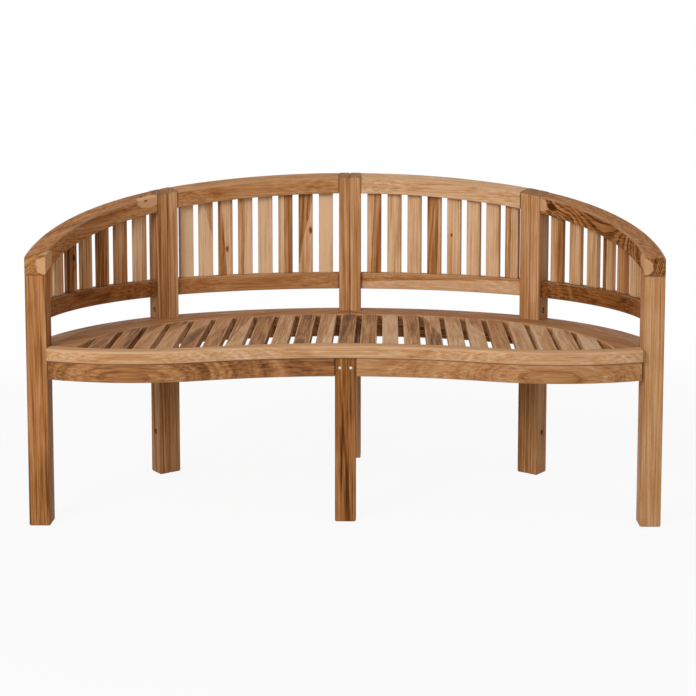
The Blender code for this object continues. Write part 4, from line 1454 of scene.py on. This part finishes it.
# Holes: how far they go past the face, and how deep the fittings sit in them
HOLE_OPENING = 0.004
SCREW_DROP = 0.0245
SCREW_SPREAD = 0.013
SCREW_HOLE = 0.0046
SCREW_RECESS = 0.0035
BOLT_RISE = 0.023
LOWER_BOLT_HEIGHT = 0.113
BOLT_HOLE = 0.0078
BOLT_RECESS = 0.009
BOLT_HEAD_RISE = 0.0028


def rods(name, places, radius, reach):
    """Cutter of round rods: places are (centre, axis), reach is (from, to) along the axis."""
    mesh = bmesh.new()
    for centre, axis in places:
        turn = Vector(axis).to_track_quat("Z", "Y").to_matrix().to_4x4()
        middle = Vector(centre) + Vector(axis) * (reach[0] + reach[1]) / 2
        bmesh.ops.create_cone(mesh, cap_ends=True, segments=HOLE_SIDES, radius1=radius,
                              radius2=radius, depth=reach[1] - reach[0],
                              matrix=Matrix.Translation(middle) @ turn)
    data = bpy.data.meshes.new(name)
    mesh.to_mesh(data)
    mesh.free()
    return add_object(name, data)


def screw_places(plan):
    """Middle and outward axis of the leg's two screws."""
    height = plan.seat_top(plan.front_y) - plan.sizes.board - SCREW_DROP
    return [((side * SCREW_SPREAD, plan.front_y - plan.origin_y, height), (0.0, -1.0, 0.0))
            for _, side in SIDES]


def bolt_places(plan, side):
    """Middle and outward axis of the bolts of a mid post."""
    x, y, heading = plan.mid
    ahead = (math.cos(heading), math.sin(heading))
    out = plan.sizes.post / 2
    place = (x - out * ahead[1], y + out * ahead[0])
    return [((side * place[0], place[1] - plan.origin_y, z), (side * ahead[0], ahead[1], 0.0))
            for z in (plan.seat_top(y) + BOLT_RISE, LOWER_BOLT_HEIGHT)]


class BuildPosts(bpy.types.Operator):
    """Makes the arm posts, the centre leg and the halved rear posts"""

    bl_idname = "bench.posts"
    bl_label = "Posts"

    looks = {
        "left_arm": ((41.0, 0.30, 0.30), Look(-0.09, 0.9)),
        "right_arm": ((42.4, 0.31, 0.31), Look(0.15, 0.5)),
        "leg": ((43.1, 0.33, 0.29), Look(-0.19, 0.8)),
        "left_centre": ((44.5, 0.32, -0.26), Look(0.08, 0.6)),
        "right_centre": ((45.2, 0.30, -0.37), Look(0.11, 0.6)),
        "left_mid_inner": ((46.3, 0.35, -0.25), Look(0.12, 0.8)),
        "left_mid_outer": ((47.7, 0.38, -0.24), Look(-0.03, 1.0)),
        "right_mid_inner": ((48.9, 0.32, -0.26), Look(0.07, 0.6)),
        "right_mid_outer": ((50.3, 0.32, -0.28), Look(0.15, 0.6)),
    }

    def execute(self, context):
        plan = Plan(context.scene.bench_sizes)
        sizes = plan.sizes
        material = teak("Teak, posts", ring_gap=0.008, wear_and_highlight=0.05)
        gap = plan.gap
        half, wide = sizes.post / 2, sizes.half_post

        def post(name, key, rings, outline, side, corner, turn, node, cutter=None):
            shift, look = self.looks[key]
            middle = (side * corner[0], corner[1] - plan.origin_y, 0.0)
            loft(name, mirrored(rings, side), outline, material,
                 ("upright", side * turn, middle, shift), look, [node], cutter)

        def under_rail(y):
            return plan.rail_top(y) - sizes.top_rail - gap

        def under_board(y):
            return plan.seat_top(y) - sizes.board - gap

        rings, outline = post_rings(plan, (plan.face, 0.0), 0.0, (0.0, sizes.post), under_rail,
                                    COVERED_HEAD_EASE)
        for side_name, side in SIDES:
            post(f"{side_name}_arm_post", f"{side_name}_arm", rings, outline, side,
                 (plan.face + half, half), 0.0, f"arm_post_{side_name}")

        rings, outline = post_rings(plan, (0.0, plan.front_y), 0.0, (-half, half), under_board,
                                    COVERED_HEAD_EASE)
        holes = rods("screw_holes", screw_places(plan), SCREW_HOLE, (-SCREW_RECESS, HOLE_OPENING))
        post("centre_leg", "leg", rings, outline, 1, (0.0, plan.front_y + half), 0.0,
             "front_centre_leg", holes)

        x, y, heading = plan.mid
        for side_name, side in SIDES:
            rings, outline = post_rings(plan, (0.0, plan.back_y), 0.0, (gap / 2, wide),
                                        plan.rail_top, OPEN_HEAD_EASE)
            post(f"{side_name}_half_centre_post", f"{side_name}_centre", rings, outline, side,
                 (wide / 2, plan.back_y + half), 0.0, f"centre_post_{side_name}_half")
            for half_name, way in (("inner", -1), ("outer", 1)):
                along = sorted((way * gap / 2, way * wide))
                reach = sorted((way * (wide - BOLT_RECESS), way * (wide + HOLE_OPENING)))
                rings, outline = post_rings(plan, (x, y), heading, along, plan.rail_top,
                                            OPEN_HEAD_EASE)
                holes = rods("bolt_holes", bolt_places(plan, side), BOLT_HOLE, reach)
                post(f"{side_name}_mid_post_{half_name}", f"{side_name}_mid_{half_name}", rings,
                     outline, side, (x, y), heading, f"mid_post_{side_name}_{half_name}_half",
                     holes)
        return {"FINISHED"}


HEAD_SIDES = 28
HEAD_RINGS = 4


def fastener_tree(name):
    """Sets one fitting on each point, turned to its direction."""
    shape = Shape(name, {"Radius": 0.004, "Depth": 0.003, "Dome": 0.001, "Sink": 0.0,
                         "Material": None})
    value = shape.value
    head = shape.add("GeometryNodeMeshCylinder", {}, Vertices=HEAD_SIDES, Side_Segments=1,
                     Fill_Segments=HEAD_RINGS, Radius=value("Radius"), Depth=value("Depth"))
    across, deep, rise = shape.position()
    out = shape.distance(across, deep) / value("Radius")
    top = rise.band(0.0, 0.0001)
    crown = (1 - out * out) * value("Dome") * top
    domed = shape.moved(head, across, deep, rise + crown - value("Sink"))
    facing = shape.add("FunctionNodeAlignRotationToVector", {"axis": "Z"},
                       Vector=shape.read("facing", "FLOAT_VECTOR"))
    placed = shape.add("GeometryNodeInstanceOnPoints", {}, Points=value("Geometry"),
                       Instance=domed, Rotation=facing)
    shape.close(placed)
    return shape


class BuildFittings(bpy.types.Operator):
    """Makes the screws of the centre leg and the bolts of the mid posts"""

    bl_idname = "bench.fittings"
    bl_label = "Screws and bolts"

    screw = {"Radius": 0.0036, "Depth": 0.0022, "Dome": 0.0006, "Sink": 0.0009}
    bolt = {"Radius": 0.0070, "Depth": 0.0050, "Dome": 0.0012, "Sink": 0.0}

    def execute(self, context):
        plan = Plan(context.scene.bench_sizes)
        tints = context.scene.bench_colours
        self.fit("leg_screws", screw_places(plan), self.screw,
                 brushed("Bright steel", tuple(tints.steel), 0.34),
                 [f"centre_leg_screw_{name}" for name, _ in SIDES])
        deep = plan.sizes.half_post - BOLT_RECESS + BOLT_HEAD_RISE
        places = [(Vector(centre) + Vector(axis) * deep * way, Vector(axis) * way)
                  for _, side in SIDES for centre, axis in bolt_places(plan, side)
                  for way in (-1, 1)]
        self.fit("post_bolts", places, self.bolt,
                 brushed("Aged steel", tuple(tints.aged_steel), 0.5),
                 [f"mid_post_{name}_{height}_bolt" for name, _ in SIDES
                  for height in ("upper", "lower")])
        return {"FINISHED"}

    @staticmethod
    def fit(name, places, head, material, nodes):
        data = bpy.data.meshes.new(name)
        data.from_pydata([tuple(centre) for centre, _ in places], [], [])
        store(data, "facing", [tuple(axis) for _, axis in places])
        piece = add_object(name, data)
        kept_shape("Fittings", fastener_tree).run(piece, {**head, "Material": material})
        finish_piece(piece, nodes)


class BuildStage(bpy.types.Operator):
    """Sets the floor, the soft lights and the camera"""

    bl_idname = "bench.stage"
    bl_label = "Stage"

    lamps = (("Key light", (-2.3, -3.7, 2.5), 2.2, 128.0),
             ("Fill light", (2.6, -3.4, 1.8), 2.4, 26.0),
             ("Top light", (-0.4, 0.3, 3.6), 2.6, 10.0))
    lamps_aim = Vector((0.0, 0.0, 0.4))
    camera_place = (0.0752, -3.6411, 1.1005)
    camera_turn = (math.radians(90.0 - 5.32), math.radians(-0.13), 0.0)
    camera_lens = 74.737
    camera_shift = (-0.0427, -0.2181)
    floor_reach = 60
    shadow_reach = (0.9, 2.6)

    def execute(self, context):
        scene = context.scene
        scene.view_settings.view_transform = "Standard"
        self.floor(tuple(scene.bench_colours.floor))
        self.world(scene)
        for lamp in self.lamps:
            self.lamp(*lamp)
        camera = bpy.data.cameras.new("Camera")
        camera.lens = self.camera_lens
        camera.shift_x, camera.shift_y = self.camera_shift
        holder = add_object("Camera", camera)
        holder.location = self.camera_place
        holder.rotation_euler = self.camera_turn
        scene.camera = holder
        return {"FINISHED"}

    def floor(self, tint):
        """Pale floor with the bench's shadow near it, white to the camera further off."""
        data = bpy.data.meshes.new("Floor")
        far = self.floor_reach
        data.from_pydata([(-far, -far, 0), (far, -far, 0), (far, far, 0), (-far, far, 0)], [],
                         [(0, 1, 2, 3)])
        piece = add_object("Floor", data)
        made, graph, shader = new_material("Pale floor")
        shader.inputs["Base Color"].default_value = (*tint, 1.0)
        shader.inputs["Roughness"].default_value = 0.9
        shader.inputs["Specular IOR Level"].default_value = 0.1
        x, y, _ = graph.split(graph.add("ShaderNodeTexCoord", {})["Object"])
        away = graph.distance(x, y).band(*self.shadow_reach)
        white = graph.add("ShaderNodeEmission", {}, (1.0, 1.0, 1.0, 1.0), 1.0)
        mixed = graph.add("ShaderNodeMixShader", {}, graph.seen() * (0.92 + away * 0.08),
                          shader.outputs[0], white)
        graph.put(made.node_tree.nodes["Material Output"].inputs["Surface"], mixed)
        data.materials.append(made)

    @staticmethod
    def world(scene):
        world = bpy.data.worlds.new("Studio")
        scene.world = world
        world.use_nodes = True
        background = world.node_tree.nodes["Background"]
        background.inputs["Color"].default_value = (1.0, 1.0, 1.0, 1.0)
        graph = Graph(world.node_tree)
        graph.put(background.inputs["Strength"], 0.42 + graph.seen() * 0.58)

    def lamp(self, name, place, size, power):
        light = bpy.data.lights.new(name, "AREA")
        light.shape = "DISK"
        light.size = size
        light.energy = power
        holder = add_object(name, light)
        holder.location = place
        holder.rotation_euler = (self.lamps_aim - holder.location).to_track_quat(
            "-Z", "Y").to_euler()


class BenchPanel(bpy.types.Panel):
    """Lists the bench's sizes, colours and pieces"""

    bl_idname = "VIEW3D_PT_bench"
    bl_label = "Curved garden bench"
    bl_space_type = "VIEW_3D"
    bl_region_type = "UI"
    bl_category = "Bench"

    def draw(self, context):
        layout = self.layout
        for title, group in (("Colours", context.scene.bench_colours),
                             ("Sizes", context.scene.bench_sizes)):
            box = layout.box()
            box.label(text=title)
            for key in group.__annotations__:
                box.prop(group, key)
        column = layout.column(align=True)
        for operator in OPERATORS:
            column.operator(operator.bl_idname)


OPERATORS = (BuildStage, BuildTopRails, BuildLowerRails, BuildSeatRails, BuildBackSlats,
             BuildSeatBoards, BuildSeatSlats, BuildAprons, BuildPosts, BuildFittings)
CLASSES = (BenchSizes, BenchColours, *OPERATORS, BenchPanel)


def register():
    for item in CLASSES:
        bpy.utils.register_class(item)
    bpy.types.Scene.bench_sizes = bpy.props.PointerProperty(type=BenchSizes)
    bpy.types.Scene.bench_colours = bpy.props.PointerProperty(type=BenchColours)


def unregister():
    del bpy.types.Scene.bench_colours
    del bpy.types.Scene.bench_sizes
    for item in reversed(CLASSES):
        bpy.utils.unregister_class(item)


def main():
    register()
    for operator in OPERATORS:
        group, name = operator.bl_idname.split(".")
        getattr(getattr(bpy.ops, group), name)()


if __name__ == "__main__":
    main()
